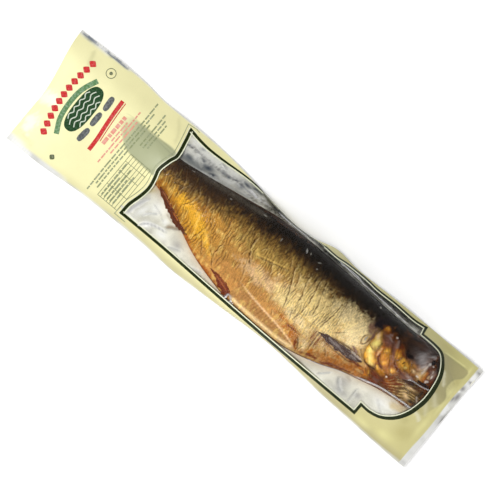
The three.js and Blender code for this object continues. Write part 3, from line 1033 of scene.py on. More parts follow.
def marked(ovals, lines=()):
    """The same with firm edges."""
    return np.maximum(spots(on_head, *ovals), strokes(on_head, *lines))


CRESCENT = [(334.8, 9), (336.8, 4.6), (340.6, 0.4), (346, -3.4)]
CRESCENT_EDGE = [(335.4, -3.6), (339, -4.8), (343, -5.6), (347.6, -5.2), (351, -4.6)]
# Fine streaks run down the gill cover, and others up over the eye.
down_gill = value_noise((top_along + top_across) / 1.1, (top_along - top_across) / 7, 87)
down_gill = lerp(0.5, 1, ease(down_gill, 0.2, 0.6))
up_eye = value_noise((top_along - 0.8 * top_across) / 1.3, (0.8 * top_along + top_across) / 6, 85)
up_eye = lerp(0.4, 1, up_eye)
head_fields = {
    "crown": marked([(362, 30, 15, 8, -4), (372, 36, 14, 4, -6), (348, 31, 10, 5, 0), (389, 31, 8, 4, -50)]),
    "jaw": marked([(380, -2.5, 17, 9, 8)]),
    "brass": painted(
        [(367, 14.4, 7.4, 4.6, 4), (350.4, 7.6, 4.4, 6.6, -35), (354, -2.6, 3.8, 2.2, 0),
         (344, -10.4, 7, 3, -10), (356.2, 16.6, 3.4, 4.4, 25), (377.5, 17, 2.6, 2.6, 0),
         (335.6, 16, 2.4, 4.6, 0), (340, 0, 6, 4.4, -45)],
    ) * down_gill,
    "orange": painted(
        [(336.9, 26.8, 3, 2.2, -10), (360.3, 3.2, 4, 3, 20), (343, 9.6, 2, 5.4, 8),
         (384.4, 17, 1.5, 4.6, 0), (365, -5.8, 3.8, 1.6, 18), (342, -11.8, 5, 2.2, 0),
         (369.8, -3.4, 2.6, 2, 30), (352.6, 5, 3, 3.6, -35), (360.5, 3, 3.4, 2.8, 0)],
        [([(353.4, 20.5), (355.5, 17), (358, 12)], 1.5, 0.8)],
    ),
    "umber": painted(
        [(353, 30.5, 3, 3.6, 0), (366, 33, 6, 2.2, 0), (371, -2.6, 5, 3, 0), (357, -9.6, 8, 3, -6),
         (386, 4.4, 7, 3, 0), (379, 5.6, 3.4, 1.4, 15)],
        [([(340.6, 17), (340.9, 12), (341.6, 8)], 0.7, 0.7), ([(383.8, 25), (385.2, 21)], 2.0, 0.9),
         ([(360.6, 17.6), (359.4, 14), (358.6, 11.4)], 0.7, 0.8)],
    ),
    "ruddy": painted(
        [(354.2, 22.4, 2.4, 2, 0), (364.5, -2.3, 3.4, 1.8, 0), (371.5, -0.6, 3.4, 1.4, 20),
         (383.6, 22.4, 2, 1.8, 0), (392.8, 17, 1.6, 4, 0), (354, -7.6, 3.6, 2, -15), (366, -8, 7, 2, 4),
         (368.6, -2.4, 4, 2.4, 20), (363, 7.4, 4, 1.6, 0)],
        [([(345, 8.6), (345.6, 4.6), (348.6, 1.4), (353.5, -0.4)], 1.3, 0.9),
         ([(357, 20), (360.5, 18.4), (365, 19)], 1.2, 0.8),
         ([(362, -8), (368, -8.6), (374, -9.6)], 1.2, 0.8),
         ([(350, -12.6), (355, -13.6), (361, -13)], 1.6, 0.9)],
    ),
    "bright": painted(
        [(336.6, 27.2, 1.6, 1, 0), (361, 3.4, 2.4, 1.8, 20), (365.6, 13.4, 4.2, 2.6, 0),
         (362.2, 14.8, 1.6, 2.2, 0), (381.4, 15, 1.8, 3.4, 0), (347.6, 12.4, 1.6, 2, -35),
         (356.4, 15.6, 1.4, 2.2, 20), (352.4, 4.4, 1.4, 2.4, -35)],
        [(CRESCENT, 3.4, 1.0), ([(348.4, -0.8), (351.8, -3.6)], 1.0, 0.9),
         ([(343, 12), (343.4, 8)], 0.9, 0.5), ([(346.5, -7.6), (349, -10.6)], 0.7, 0.6),
         ([(334, -9.8), (341, -9.2)], 1.4, 0.8)],
    ) * down_gill,
    "core": painted(
        [(336.6, 12.4, 2.6, 5.4, 6), (337.6, 4.6, 2.4, 3.2, 35), (343.6, -2.6, 3.2, 1.5, -18),
         (340.4, 0.8, 4, 2, -45)],
        [([(366, 11.6), (369, 12.4)], 0.9, 0.8), ([(361, 4), (359.6, 2.4)], 0.8, 0.5)],
    ) * lerp(0.6, 1, down_gill),
    "plum": painted(
        [(344.4, 19, 3.8, 3, 0), (342, 21.4, 3.6, 1.6, -10), (371.6, 5.6, 5, 2, -12)],
        [([(346, 23), (348.6, 20.5), (351.5, 16.2), (354.4, 12), (357.6, 8.4)], 1.8, 0.85),
         ([(353, -10.2), (359, -11.4)], 1.4, 0.7)],
    ),
    "lilac": painted(
        [(389.4, 21.4, 2.6, 3.8, 0), (375, 8, 3, 1.2, -15), (344, 21.8, 2.2, 0.9, 0)],
        [([(349.8, 26), (351.2, 22), (352.6, 19)], 1.3, 0.8), ([(340.6, 24), (344, 25)], 1.1, 0.7),
         ([(332.8, 21.6), (333.4, 17.6)], 0.9, 0.7)],
    ),
    "clouded": painted([(370, 24.8, 9, 7, 8), (364, 23, 5, 4, 20)]),
    # Painted highlight: a pale sheen of light on the film over the eye, streaked up over it.
    "silver": painted(
        [(378, 22.8, 3.2, 5.2, -8), (374, 27, 5.4, 4.4, 25), (381, 25.6, 1.6, 2, 0)],
        [([(383.2, 33.8), (379.6, 32.4), (375.5, 29.4)], 1.4, 0.9)],
    ) * up_eye,
    "jaw_line": jaw_lines**2 * lower_jaw * lerp(0.2, 1, ease(leather, 0.4, 1.1)),
    "peach": painted(
        [(380.9, 16, 1.8, 4.6, 0), (374.8, 13.4, 1.8, 1.3, 0), (340.4, -7.8, 2.6, 1.1, -10),
         (335.2, 17, 1.5, 2.4, 0), (380.4, 13.6, 2.4, 2.4, 0), (383, -5.8, 3.4, 1.2, -10),
         (381.5, 1.9, 3.6, 0.9, 6)],
        [([(387.2, 19.4), (387.4, 16)], 1.0, 0.8), ([(343, 12.4), (343.3, 8), (344, 4.6)], 0.9, 0.6)],
    ),
    # Dark marks, with painted shadow in the mouth, under the gill cover's lower edge and under the crease
    # over the jaw.
    "soot": np.maximum.reduce([
        marked(
            [(383.3, 29.5, 2.2, 1.8, 0), (363.4, 22.2, 4.2, 2.2, -8), (387.6, 10.9, 5.4, 1.2, 8)],
            [(CRESCENT_EDGE, 0.7, 0.9), ([(334.6, 29.4), (337.6, 30), (341, 28), (342, 26)], 1.2, 0.7),
             ([(333.6, 8.2), (336, 7.5), (338.8, 6.2)], 0.45, 0.6),
             ([(364.4, 15.4), (363.4, 12.4)], 0.45, 0.7), ([(362, 11), (368, 9.6), (373, 10)], 0.5, 0.5),
             ([(349.8, 27.6), (352, 24.6), (353.6, 22.6)], 0.8, 0.7)],
        ),
        0.85 * painted(
            [(392.4, 3, 1.8, 4.6, 0), (389.4, -6.2, 3, 1.4, 20), (392.6, -4, 1.6, 1.6, 0),
             (380, 5.4, 5, 1.2, 8)],
        ),
        0.8 * mouth,
    ]),
    # The grooves are painted darker too, partly as painted shade in them.
    "groove": groove,
    # The groove round the eye is painted darker too, as shade.
    "orbit": orbit,
    "nape": marked([(342, 35, 12, 6.5, 0), (355, 37, 10, 3, 0)]) * ease(top_across, 27, 31.5),
    # Painted highlights: pale glints and streaks of light on the film over the head.
    "pale": marked(
        [(381.2, 26.7, 1.3, 1.1, 0), (384.8, 27.2, 0.9, 0.9, 0), (346.9, 26, 1, 0.7, 0),
         (360.8, -3.3, 0.9, 0.7, 0), (379.6, 12.4, 1.4, 0.8, 0), (389.6, 19.4, 0.8, 2.2, 0),
         (388.4, 14.3, 1.8, 1.5, 0)],
        [([(381.2, 25), (381, 21.4), (380.9, 15.6)], 0.9, 0.9), ([(387.2, 24.6), (388.2, 22)], 0.6, 0.6),
         ([(390, 0.2), (394.2, -4)], 0.6, 0.5)],
    ),
}
head = fish_piece(
    "herring_head", (*on_head, top_height), (under_along, under_across, under_height), head_fields
)

head_skin, flow = new_material("smoked_head")
mottle = flow.noise(0.35, detail=4.0)
pores = flow.noise(1.3, detail=2.0)
colour = flow.coats(
    mottle.ease(0.35, 0.65).paint(tone(100, 50, 12), tone(142, 82, 32)),
    crown=(50, 26, 8), jaw=(120, 94, 54), brass=(222, 152, 36), orange=(208, 122, 42),
    umber=(92, 56, 30), ruddy=(126, 50, 4), bright=(255, 196, 72), core=(255, 238, 140),
    plum=(132, 90, 78), lilac=(176, 148, 138), clouded=(88, 70, 62), silver=(222, 214, 214),
    jaw_line=(220, 186, 122), peach=(240, 206, 154), soot=(34, 22, 22), nape=(32, 26, 22),
    pale=(244, 230, 218), groove=(72, 36, 16, 0.6), orbit=(52, 36, 32, 0.25),
)
flow.surface(
    Base_Color=pores.shaded(mottle.shaded(colour, 0.74, 1.26), 0.76, 1.24),
    Metallic=0.15,
    Specular_IOR_Level=0.08,
    Roughness=0.3 + 0.2 * mottle,
    Normal=(mottle + 0.25 * pores).bump(0.4, 0.5),
)
belongs(head, head_skin)


# ----------------------------------------------------------------------------------------------------- fins
# The breast, belly, anal and back fins, dried flat on the skin with their rays closed up. Each is a thin
# leaf of horny rays in dark skin, joined to the fish at its root.

FIN_LIFT = 0.45
FIN_COLUMNS = 90
FIN_LINES = 26


def lies_on(along, across):
    """Height of the skin under a place, or of the foil where the place is beyond the fish's belly."""
    share = side_share(along, across)
    on_skin = drawn_on(along, np.clip(share, 0, 1)) - FILM_GAP
    sheet_across, sheet_height = foil_lines(along)
    on_sheet = [np.interp(y, *sheet) for y, *sheet in zip(across, sheet_across, sheet_height)]
    return np.where(share < 1, on_skin, np.array(on_sheet) + 0.2)


def fin(name, upper, lower, rays, web, ray, rim=(26, 18, 14), fray=0.9, streak=(186, 172, 164), streaks=()):
    """A fin between two lines of (along, across) points, that run from one end of the fin to the other. Its
    lower edge is ragged by fray in millimetres, and lines of the streak colour run along it."""
    along = np.linspace(upper[0][0], upper[-1][0], FIN_COLUMNS)[:, None]
    share = np.linspace(0, 1, FIN_LINES)
    root = upper[0][0]
    frayed = fray * (value_noise(along / 1.6, share * 0, 93) - 0.5) * ease(along, root + 2, root + 8)
    across = lerp(through(*lower)(along) + frayed, through(*upper)(along) + 0.4 * frayed, share)
    along = np.broadcast_to(along, across.shape)
    ray_ridge = (0.5 + 0.5 * np.cos(2 * math.pi * rays * (share + 0.012 * np.sin(along / 3)))) ** 2
    swell = np.clip(1 - (2 * share - 1) ** 4, 0, 1) ** 0.5
    height = lies_on(along[:, :1], across) + FIN_LIFT * (1.5 * swell - 0.7) + 0.22 * ray_ridge * swell
    fields = {
        "ray": ray_ridge,
        "edge": np.broadcast_to(1 - swell, along.shape),
        "streak": strokes((along, across), *streaks),
    }
    piece = skin_of_cells(name, along, across, height, fields=fields)
    material, flow = new_material(name)
    mottle = flow.noise(0.5, detail=3.0, stretch=(2.5, 1, 1))
    colour = mottle.ease(0.3, 0.7).paint(tone(*web), tone(*(0.5 * value for value in web)))
    colour = (flow.field("ray") * mottle.ease(0.4, 0.6)).paint(colour, tone(*ray))
    colour = flow.coats(colour, edge=(*rim, 0.7), streak=streak)
    flow.surface(
        Base_Color=colour,
        Specular_IOR_Level=0.2,
        Roughness=0.35 + 0.2 * mottle,
        Normal=mottle.bump(0.3, 0.3),
    )
    belongs(piece, material)


fin(
    "breast_fin",
    upper=((296, -10.5), (300, -8.8), (303.8, -6.8), (313, -6.4), (322, -5.0), (332, -5.6), (338.5, -6.3)),
    lower=(
        (296, -10.9), (300, -11.6), (303.8, -12.7), (311, -13.3), (322, -13), (329, -12.8), (333, -11),
        (338.5, -7.4),
    ),
    rays=7, web=(76, 42, 28), ray=(128, 96, 84),
    streaks=(
        ([(325, -6.4), (331, -6.2), (337.6, -6.6)], 0.4, 0.55),
        ([(305, -8.6), (312, -9.4), (318, -8.8)], 0.9, 0.4),
        ([(309, -10.4), (316, -9.8), (322, -10.2)], 0.5, 0.4), ([(327, -8.8), (334, -8.2)], 1.0, 0.4),
    ),
)
fin(
    "belly_fin",
    upper=((198, -26.8), (205, -26.1), (213, -26.9), (219, -28.8), (224, -31.4)),
    lower=((198, -27.4), (205, -31), (212, -35.2), (218, -37.6), (224, -38.2)),
    rays=6, web=(124, 48, 20), ray=(168, 84, 42), rim=(150, 84, 34), fray=1.6, streak=(206, 122, 66),
    streaks=(([(204, -28.2), (211, -30), (220, -33)], 0.5, 0.5), ([(208, -27.8), (216, -29.2)], 0.35, 0.4)),
)
fin(
    "anal_fin",
    upper=((125, -2.4), (135, -4.8), (142, -8.2), (150, -11.8), (160, -16.2), (166, -18.8)),
    lower=((125, -4.2), (131, -9), (138, -12.6), (145, -16.6), (152, -19), (158, -20.2), (166, -19.4)),
    rays=5, web=(96, 38, 14), ray=(142, 74, 32), rim=(124, 66, 26), fray=2.2, streak=(196, 116, 54),
    streaks=(([(128, -4.2), (136, -7), (143, -10.4)], 0.4, 0.5), ([(146, -12), (154, -15)], 0.5, 0.7)),
)
fin(
    "back_fin",
    upper=((197, 36.9), (207, 38.2), (220, 39.6), (235, 40.2), (246, 40.6)),
    lower=((197, 36.4), (207, 35.9), (220, 36.8), (235, 38.2), (246, 40.0)),
    rays=4, web=(70, 54, 44), ray=(112, 84, 62),
)


# ------------------------------------------------------------------------------------------- the front film
# One sheet of plastic film, clear over the fish and printed cream round that window. The vacuum presses it
# on the fish, from there it runs down to the weld in a short slope, and it creases where it can't stretch.

FILM_CELL = 0.7
FILM_FISH_LINES = 96
FILM_MARGIN_CELLS = (26, 28)
LEAVES_BACK = 0.03
LEAVES_BELLY = 0.975
WELDED_LIFT = 0.15

film_places = np.linspace(0, HEAD_END, round(HEAD_END / FILM_CELL))
column = film_places[:, None]
edge = edge_height(column) + WELDED_LIFT
share = np.linspace(LEAVES_BELLY, LEAVES_BACK, FILM_FISH_LINES + 1)
over_across = lerp(fish_back(column), fish_belly(column), share)
over_height = drawn_on(column, share) + gill_cover(column - gill_rear(share), column, share, 3.0)
over_height = over_height + 0.8 * eyeball(column, over_across, 3.0)
welded_end = fall(column, 0, 14) + ease(column, HEAD_END - 10, HEAD_END)
over_height = over_height - (WELD - WELDED_LIFT) * welded_end
film_across, film_height = with_margins(column, (over_across, over_height), edge, FILM_MARGIN_CELLS)
film_along = column + slant(column, film_across)
on_film = (film_along, film_across)

steps = np.hypot(np.diff(film_across, axis=1), np.diff(film_height, axis=1))
from_back_edge = np.concatenate([np.cumsum(steps[:, ::-1], axis=1)[:, ::-1], np.zeros_like(column)], axis=1)
from_belly_edge = np.concatenate([np.zeros_like(column), np.cumsum(steps, axis=1)], axis=1)
from_end = HEAD_END - film_along


def inside(along, across, polygon):
    """Whether each place lies inside a closed outline."""
    result = np.zeros(along.shape, bool)
    for (x0, y0), (x1, y1) in zip(polygon, np.roll(polygon, -1, axis=0)):
        if y0 == y1:
            continue
        crosses = (y0 > across) != (y1 > across)
        result ^= crosses & (along < (x1 - x0) * (across - y0) / (y1 - y0) + x0)
    return result


def within(places, points, soft):
    """1 inside a rounded closed outline and 0 outside, with a soft edge."""
    ring = smooth_line([*points, points[0]], 4)
    gap = off_line(*places, ring)[0]
    return ease(np.where(inside(*places, ring), gap, -gap), -soft, soft)


CREASES = (
    ([(374.6, 5.4), (378.6, 7.4), (386, 8.2), (391, 9.2), (397, 11)], 0.4, 0.8),
    ([(338, -20.5), (350, -17), (362, -13.4), (376, -11.4), (392, -10.4), (399, -10.6), (407, -14)],
     0.6, 0.9),
    ([(222.5, -33), (221.4, -37), (220.8, -41.5)], 0.65, 1.2),
    ([(222.5, -33), (226, -35.4), (226.6, -38.4), (222, -40)], 0.55, 1.0),
    ([(226, -36.5), (230, -37.7)], 0.5, 0.8),
    ([(258, 43.4), (272, 43.9), (284, 42.9), (300, 41.9), (322, 41.2), (342, 40.0), (359, 39.7)],
     0.35, 0.6),
    ([(274, 42.4), (286, 43.6), (298, 43.2)], 0.35, 0.7),
    ([(124, 24.6), (140, 27.6), (158, 31), (176, 34.6)], 0.5, 0.35),
    ([(210, 42.2), (226, 41.6), (244, 42.2)], 0.4, 0.6), ([(165, 38), (185, 39.6), (205, 41.6)], 0.5, 0.5),
    ([(300, -34.4), (312, -31), (324, -26.4), (338, -21.6)], 0.35, 0.7),
    ([(226, -39.2), (250, -40), (276, -39.8), (297, -37)], 0.35, 0.5),
    ([(325, -5.4), (332, -5.6), (339, -6)], 0.3, 0.25), ([(398, 3), (405, 2)], 0.7, 0.3),
    ([(380.5, 26.5), (382, 27.4)], 0.7, 0.7), ([(247, 34.6), (249.5, 31)], 0.35, 0.6),
    ([(141, 33.5), (148, 37), (158, 37.5)], 0.8, 0.5), ([(181, 41.4), (186, 40.8), (191, 39.6)], 0.9, 0.9),
    ([(122, 39.5), (132, 38.4), (144, 38.8)], 0.5, 0.6), ([(150, 44), (158, 42)], 0.7, 0.5),
    ([(128, -17), (138, -19), (147, -25)], 0.5, 0.3),
)
crease = strokes(on_film, *CREASES)
puckers = folds(film_along / 7, film_across / 5, 91)
tent_zone = ease(film_along, 396, 402) * ease(from_end, 2, 8)
beside = np.maximum(film_across - fish_back(film_along), fish_belly(film_along) - film_across)
on_fish = fall(beside, 0, 4)
film_height = film_height + sheet_wave(film_along, film_across) + 0.3 * crease
film_height += 0.25 * puckers * tent_zone + 0.1 * puckers * on_fish * ease(film_along, 100, 120)

# The window's outline in runs that meet at corners, from the hidden run at the back round by the title end,
# each with half the width of the line printed on it at its start and at its end.
WINDOW = (
    ([(192, 46.9), (185, 47.5), (175, 47.7), (165, 47.2), (150, 46), (135, 45.5), (125, 46.3), (114.5, 48)],
     0.5, 1.25),
    ([(114.5, 48), (117, 38), (119.5, 24.5), (117.5, 18), (115.3, 7), (117, 0), (118.5, -9), (117.5, -18),
      (114.5, -30), (114.2, -39)],
     1.35, 1.35),
    ([(114.2, -39), (160, -39.1), (200, -40), (250, -41), (310, -41.8), (361, -42)], 1.2, 1.2),
    ([(361, -42), (361, -33.5)], 1.3, 1.3),
    ([(361, -33.5), (370, -33.7), (380, -31), (389, -24), (395, -14), (397.5, -4), (398.2, 4), (397, 15),
      (394.5, 25), (390, 33), (383.5, 39.5), (375, 41.2), (362, 41.3)],
     1.1, 0.9),
    ([(362, 41.3), (361.5, 47.3)], 1.2, 1.2),
    ([(361.5, 47.3), (350, 46), (330, 46.4), (312, 45.8), (300, 46.6), (280, 46.2), (270, 45), (257, 45.3)],
     0.85, 0.6),
)
# The line on the run round the head is wider in the middle of that run.
HEAD_RUN = WINDOW[4]
HEAD_RUN_SWELL = 0.9
HIDDEN_RUN = (192.0, 257.0)
HIDDEN_BORDER = 5.6


def line_where(values, wanted, column):
    """The film's cell line, with fractions, on which its values reach each wanted one, at each column."""
    lines = []
    for c, value in zip(column, wanted):
        low = min(int(c), len(film_places) - 2)
        profile = lerp(values[low], values[low + 1], c - low)
        lines.append(np.interp(value, np.maximum.accumulate(profile), np.arange(profile.size)))
    return np.array(lines)


def film_line_at(along, across):
    """The film's cell column and line, with fractions, under each place of the plan."""
    column = np.interp(along - slant(along, across), film_places, np.arange(len(film_places)))
    return column, line_where(film_across, across, column)


def film_line_from_edge(along, gap):
    """The same, for places that lie a given way in from the edge beside the fish's back."""
    column = np.interp(along, film_places, np.arange(len(film_places)))
    return column, line_where(-from_back_edge, -gap, column)


def on_grid(values, column, line):
    """Values of a film grid at columns and lines with fractions."""
    i = np.clip(column.astype(int), 0, values.shape[0] - 2)
    j = np.clip(line.astype(int), 0, values.shape[1] - 2)
    u = (column - i).reshape(column.shape + (1,) * (values.ndim - 2))
    v = (line - j).reshape(line.shape + (1,) * (values.ndim - 2))
    return lerp(lerp(values[i, j], values[i + 1, j], u), lerp(values[i, j + 1], values[i + 1, j + 1], u), v)


# Over the stretch that hangs down, the line runs a set way in from the edge and meets both visible ends.
run_ends = np.array([WINDOW[0][0][0], WINDOW[-1][0][-1]], float)
end_gaps = on_grid(from_back_edge, *film_line_at(run_ends[:, 0], run_ends[:, 1]))
hidden_gap = through(
    (HIDDEN_RUN[0], end_gaps[0]), (HIDDEN_RUN[0] + 12, HIDDEN_BORDER),
    (HIDDEN_RUN[1] - 14, HIDDEN_BORDER), (HIDDEN_RUN[1], end_gaps[1]),
)
outline = np.concatenate([smooth_line(run)[:-1] for run, *widths in WINDOW] + [run_ends[1:]])
outline = np.concatenate([outline, [(HIDDEN_RUN[1], 70), (HIDDEN_RUN[0], 70)]])


def cell_middles(values):
    return 0.25 * (values[:-1, :-1] + values[1:, :-1] + values[1:, 1:] + values[:-1, 1:])


middle_along = cell_middles(film_along)
middle_across = cell_middles(film_across)
hanging = (middle_along > HIDDEN_RUN[0]) & (middle_along < HIDDEN_RUN[1])
hanging &= cell_middles(from_back_edge) < hidden_gap(middle_along)
is_window = inside(middle_along, middle_across, outline) & ~hanging
window = skin_of_cells(
    "window_film", film_along, film_across, film_height, keep=is_window, fields={"crease": crease}
)

clear, flow = new_material("clear_film")
crinkle = flow.noise(0.22, detail=3.0)
drawn = flow.noise(0.5, detail=1.0, stretch=(1, 5, 1))
film_slope = (crinkle + 0.3 * drawn).bump(0.35, 0.6)
gloss = flow.node("ShaderNodeFresnel", {}, {"IOR": 1.25, "Normal": film_slope})
through_film = flow.node("ShaderNodeBsdfTransparent", {}, {"Color": (0.98, 0.98, 0.97, 1)})
shine = flow.node("ShaderNodeBsdfGlossy", {}, {"Roughness": 0.14, "Normal": film_slope})
shows = gloss + 0.8 * flow.field("crease")
film_shader = flow.node("ShaderNodeMixShader", {}, {0: shows, 1: through_film, 2: shine})
flow.node("ShaderNodeOutputMaterial", {}, {"Surface": film_shader})
belongs(window, clear)

silver_edge = through((0, 3.2), (11, 3.2), (30, 3.0), (50, 1.2), (80, 0.5), (200, 0.5), (400, 0.5))
silver_foot = through((0, 5.5), (20, 5.0), (45, 3.2), (75, 1.4), (120, 0.8), (400, 0.8))
TAIL_SHOWS = ((66, 23), (74, 25.3), (95, 26), (118, 25.5), (118, 2), (98, 1.2), (84, 3), (75, 9), (67, 17))
TENT = (
    (383, 40.6), (396, 41.4), (410.4, 41.8), (410.6, 35.4), (406, 30.4), (404.4, 25.6), (405, 20),
    (409.6, 14.6), (410.2, 9.6), (407.6, 0), (404, -9), (398, -9), (396, 0), (396, 15), (393, 27),
    (388, 35),
)
TENT_EDGE = [(410.2, 41), (410.2, 35.6), (405.6, 30.2), (404.2, 25.4), (404.8, 20), (409, 14.8), (409.8, 10)]
PRINT_FOLDS = (
    ([(66, 25.2), (90, 26.4), (117, 25.8)], 0.6, 0.6), ([(84, 2.6), (98, 0.9), (117, 1.6)], 0.6, 0.5),
    ([(70, 20), (76, 12), (78, 6)], 1.2, 0.5), (TENT_EDGE, 0.7, 0.55),
    ([(384, 40.6), (396, 41.4), (410, 41.8)], 0.5, 0.8), ([(18, 34), (14, 48)], 2.0, 0.4),
    ([(6, -40), (26, -44)], 2.0, 0.3), ([(100, 50), (108, 40), (112, 30)], 1.4, 0.3),
)
printed_fields = {
    "silver": np.maximum.reduce([
        fall(from_back_edge - silver_edge(film_along), -0.3, 0.3),
        fall(from_belly_edge - silver_foot(film_along), -0.4, 0.4),
        fall(from_end - 4.8 - 0.5 * np.sin(film_across / 9), -0.4, 0.4),
    ]),
    # Painted dark reflections: blue-grey patches on the silver strip along the top edge.
    "slate": spots(on_film, (4, 52.5, 8.5, 1.9, 0), (33, 52.5, 14, 1.7, 0)),
    # Painted shade in the folds of the silver end seal, and painted highlights on it below.
    "end_fold": glows(
        on_film, (416.8, 20.4, 2, 4.4, 0), (415, 17.4, 1.2, 3, 0), (418.2, 46.4, 1.6, 0.8, 0),
        (418, 36.6, 2.4, 1.6, 0), (415.8, 28.6, 2.2, 2.6, 0), (417, -46.4, 2.8, 0.8, 0),
        (419, -1, 0.8, 4, 0),
    ),
    "end_white": spots(
        on_film, (416.6, 41.4, 2.6, 3.6, 0), (414.6, 25, 1.6, 1.2, 0), (415.6, 6, 2, 5.6, 0),
    ),
    # Painted light and shade on the cream print near the head end: a highlight along the ridge by the tent,
    # and shade along the lower edge.
    "print_light": np.maximum(
        glows(
            on_film, (391, -40.5, 9, 4, 6), (410.2, 20, 2, 5, 0), (411.6, 6, 1.4, 9, 0),
            (411, 41, 1.4, 5, 0), (410, -16, 2.4, 12, 0), (371, -44, 9, 2.6, 0),
        ),
        strokes(on_film, ([(385, 42), (396, 42.8), (408, 43.6)], 0.6, 0.9)),
    ),
    "print_dark": glows(
        on_film, (402, -29, 8, 6, 30), (405, -7.5, 3, 2.6, -40), (408.6, 30, 2.6, 4, 0),
        (396, -20, 4, 4, 0), (384, 46, 9, 2, 0),
    ) + 0.8 * fall(from_belly_edge, 1, 4) * ease(film_along, 360, 385),
    "streak": strokes(
        on_film, ([(397.6, -10), (402, -11.4), (406, -14.6)], 1.2, 0.9),
        ([(394, 31), (398, 25), (402.6, 19.4)], 1.5, 0.6), ([(398.6, 12), (404, 7), (409, 2)], 2.2, 0.35),
        ([(399, 2), (403, -3), (407, -9)], 1.6, 0.35),
    ),
    "tail_shows": within(on_film, TAIL_SHOWS, 1.0) * ease(film_along, 64, 84),
    # Painted shade under the film where it tents from the head down to the end weld.
    "tent": within(on_film, TENT, 0.8) * lerp(0.45, 1, ease(film_across, -4, 16)),
    # Painted shade along the lower edge of the print.
    "foot": 0.85 * fall(from_belly_edge, 2, 9),
    "glare": spots(on_film, (10, -5, 9, 6, 20), (12, -30, 6, 9, 0)),
    # Painted shade along folds and ridges in the printed film.
    "print_fold": strokes(on_film, *PRINT_FOLDS),
}
printed = skin_of_cells(
    "printed_film", film_along, film_across, film_height, keep=~is_window, fields=printed_fields
)

cream, flow = new_material("printed_cream_film")
along_flow = flow.place(0) + ORIGIN_ALONG
across_flow = flow.place(1)
# The cream darkens towards the head end, partly as painted shade for light that falls off there.
print_colour = along_flow.ease(10, 130).paint(tone(248, 244, 190), tone(238, 232, 176))
print_colour = along_flow.ease(150, 330).paint(print_colour, tone(206, 198, 138))
high = along_flow.ease(200, 300) * across_flow.ease(20, 40)
print_colour = high.paint(print_colour, tone(194, 187, 126))
by_tail = (1 - along_flow.ease(130, 200)) * across_flow.ease(20, 44) * 0.7
print_colour = by_tail.paint(print_colour, tone(218, 212, 160))
# The print is painted darker along its lower edge, as shade.
low = flow.field("foot") * along_flow.ease(-60, 300)
print_colour = flow.coats(
    low.paint(print_colour, tone(186, 178, 134)),
    print_light=(228, 222, 156, 0.7), print_dark=(186, 176, 114, 0.6), tail_shows=(172, 176, 138),
    tent=(170, 162, 114), streak=(226, 222, 192), glare=(254, 252, 226), print_fold=(140, 138, 96, 0.6),
)
film_waves = flow.noise(0.05, detail=2.0)
print_grain = flow.noise(1.6, detail=2.0)
print_colour = print_grain.shaded(film_waves.shaded(print_colour, 0.95, 1.04), 0.97, 1.03)
silver = flow.coats(
    film_waves.ease(0.35, 0.6).paint(tone(214, 214, 208), tone(240, 240, 236)),
    slate=(120, 126, 134), end_fold=(150, 147, 146), end_white=(255, 255, 252),
)
CRIMP_RADIANS_PER_MM = 2.6
crimp = flow.math("SINE", flow.place(0) * CRIMP_RADIANS_PER_MM)
crimps = (0.5 + 0.5 * crimp) * flow.field("silver")
flow.surface(
    Base_Color=flow.field("silver").paint(print_colour, silver),
    Metallic=flow.field("silver") * 0.3,
    Roughness=0.3 + 0.1 * film_waves,
    Normal=(film_waves + 0.02 * print_grain + 0.06 * crimps).bump(0.35, 1.2),
)
belongs(printed, cream)


# ---------------------------------------------------------------------------------------- the window border
# A dark green line printed round the window, with a pale keyline inside it, and at the title end a pale
# keyline and a hairline outside it too. It is ink on the film, so it follows every slope of the film.

INK_LIFT = 0.12
INK_STEP = 0.7
film_place = np.stack([film_along, film_across, film_height], -1)
film_normal = np.cross(np.gradient(film_place, axis=0), np.gradient(film_place, axis=1))
film_normal /= np.linalg.norm(film_normal, axis=-1, keepdims=True)


def ink_at(column, line, lift=INK_LIFT):
    """Places just off the film, along its normal."""
    return on_grid(film_place, column, line) + lift * on_grid(film_normal, column, line)


def side_step(points):
    """Unit steps to the left of a line at its points, longer at corners so that its width stays."""
    ways = np.diff(points, axis=0)
    ways /= np.linalg.norm(ways, axis=1, keepdims=True)
    lefts = np.stack([-ways[:, 1], ways[:, 0]], -1)
    before = np.concatenate([lefts[:1], lefts])
    after = np.concatenate([lefts, lefts[-1:]])
    middle = before + after
    middle /= np.linalg.norm(middle, axis=1, keepdims=True)
    return middle / np.maximum(0.6, (middle * after).sum(1, keepdims=True))


def even_points(points, values):
    """Points along a line at most a step apart, its corners kept, with a value for each."""
    result = [(*points[0], values[0])]
    for start, end, low, high in zip(points[:-1], points[1:], values[:-1], values[1:]):
        count = max(1, math.ceil(np.hypot(*(end - start)) / INK_STEP))
        for k in range(1, count + 1):
            result.append((*lerp(start, end, k / count), lerp(low, high, k / count)))
    return np.array(result)


def printed_band(points, right, left, cells=2, lift=INK_LIFT):
    """Places of a band of ink along a line, between two ways to its left: numbers, or one per point."""
    places = []
    for share in np.linspace(0, 1, cells + 1):
        spot = points + side_step(points) * np.reshape(lerp(right, left, share), (-1, 1))
        places.append(ink_at(*film_line_at(spot[:, 0], spot[:, 1]), lift))
    return np.stack(places, 1)


def ink_piece(name, bands, material):
    """One piece of all bands of the same ink."""
    corners = []
    used = 0
    for band in bands:
        index = used + np.arange(band[..., 0].size).reshape(band.shape[:2])
        corners.extend(cells_between(index).reshape(-1, 4).tolist())
        used += index.size
    places = np.concatenate([band.reshape(-1, 3) for band in bands])
    belongs(new_piece(name, in_metres(*places.T), corners), material)


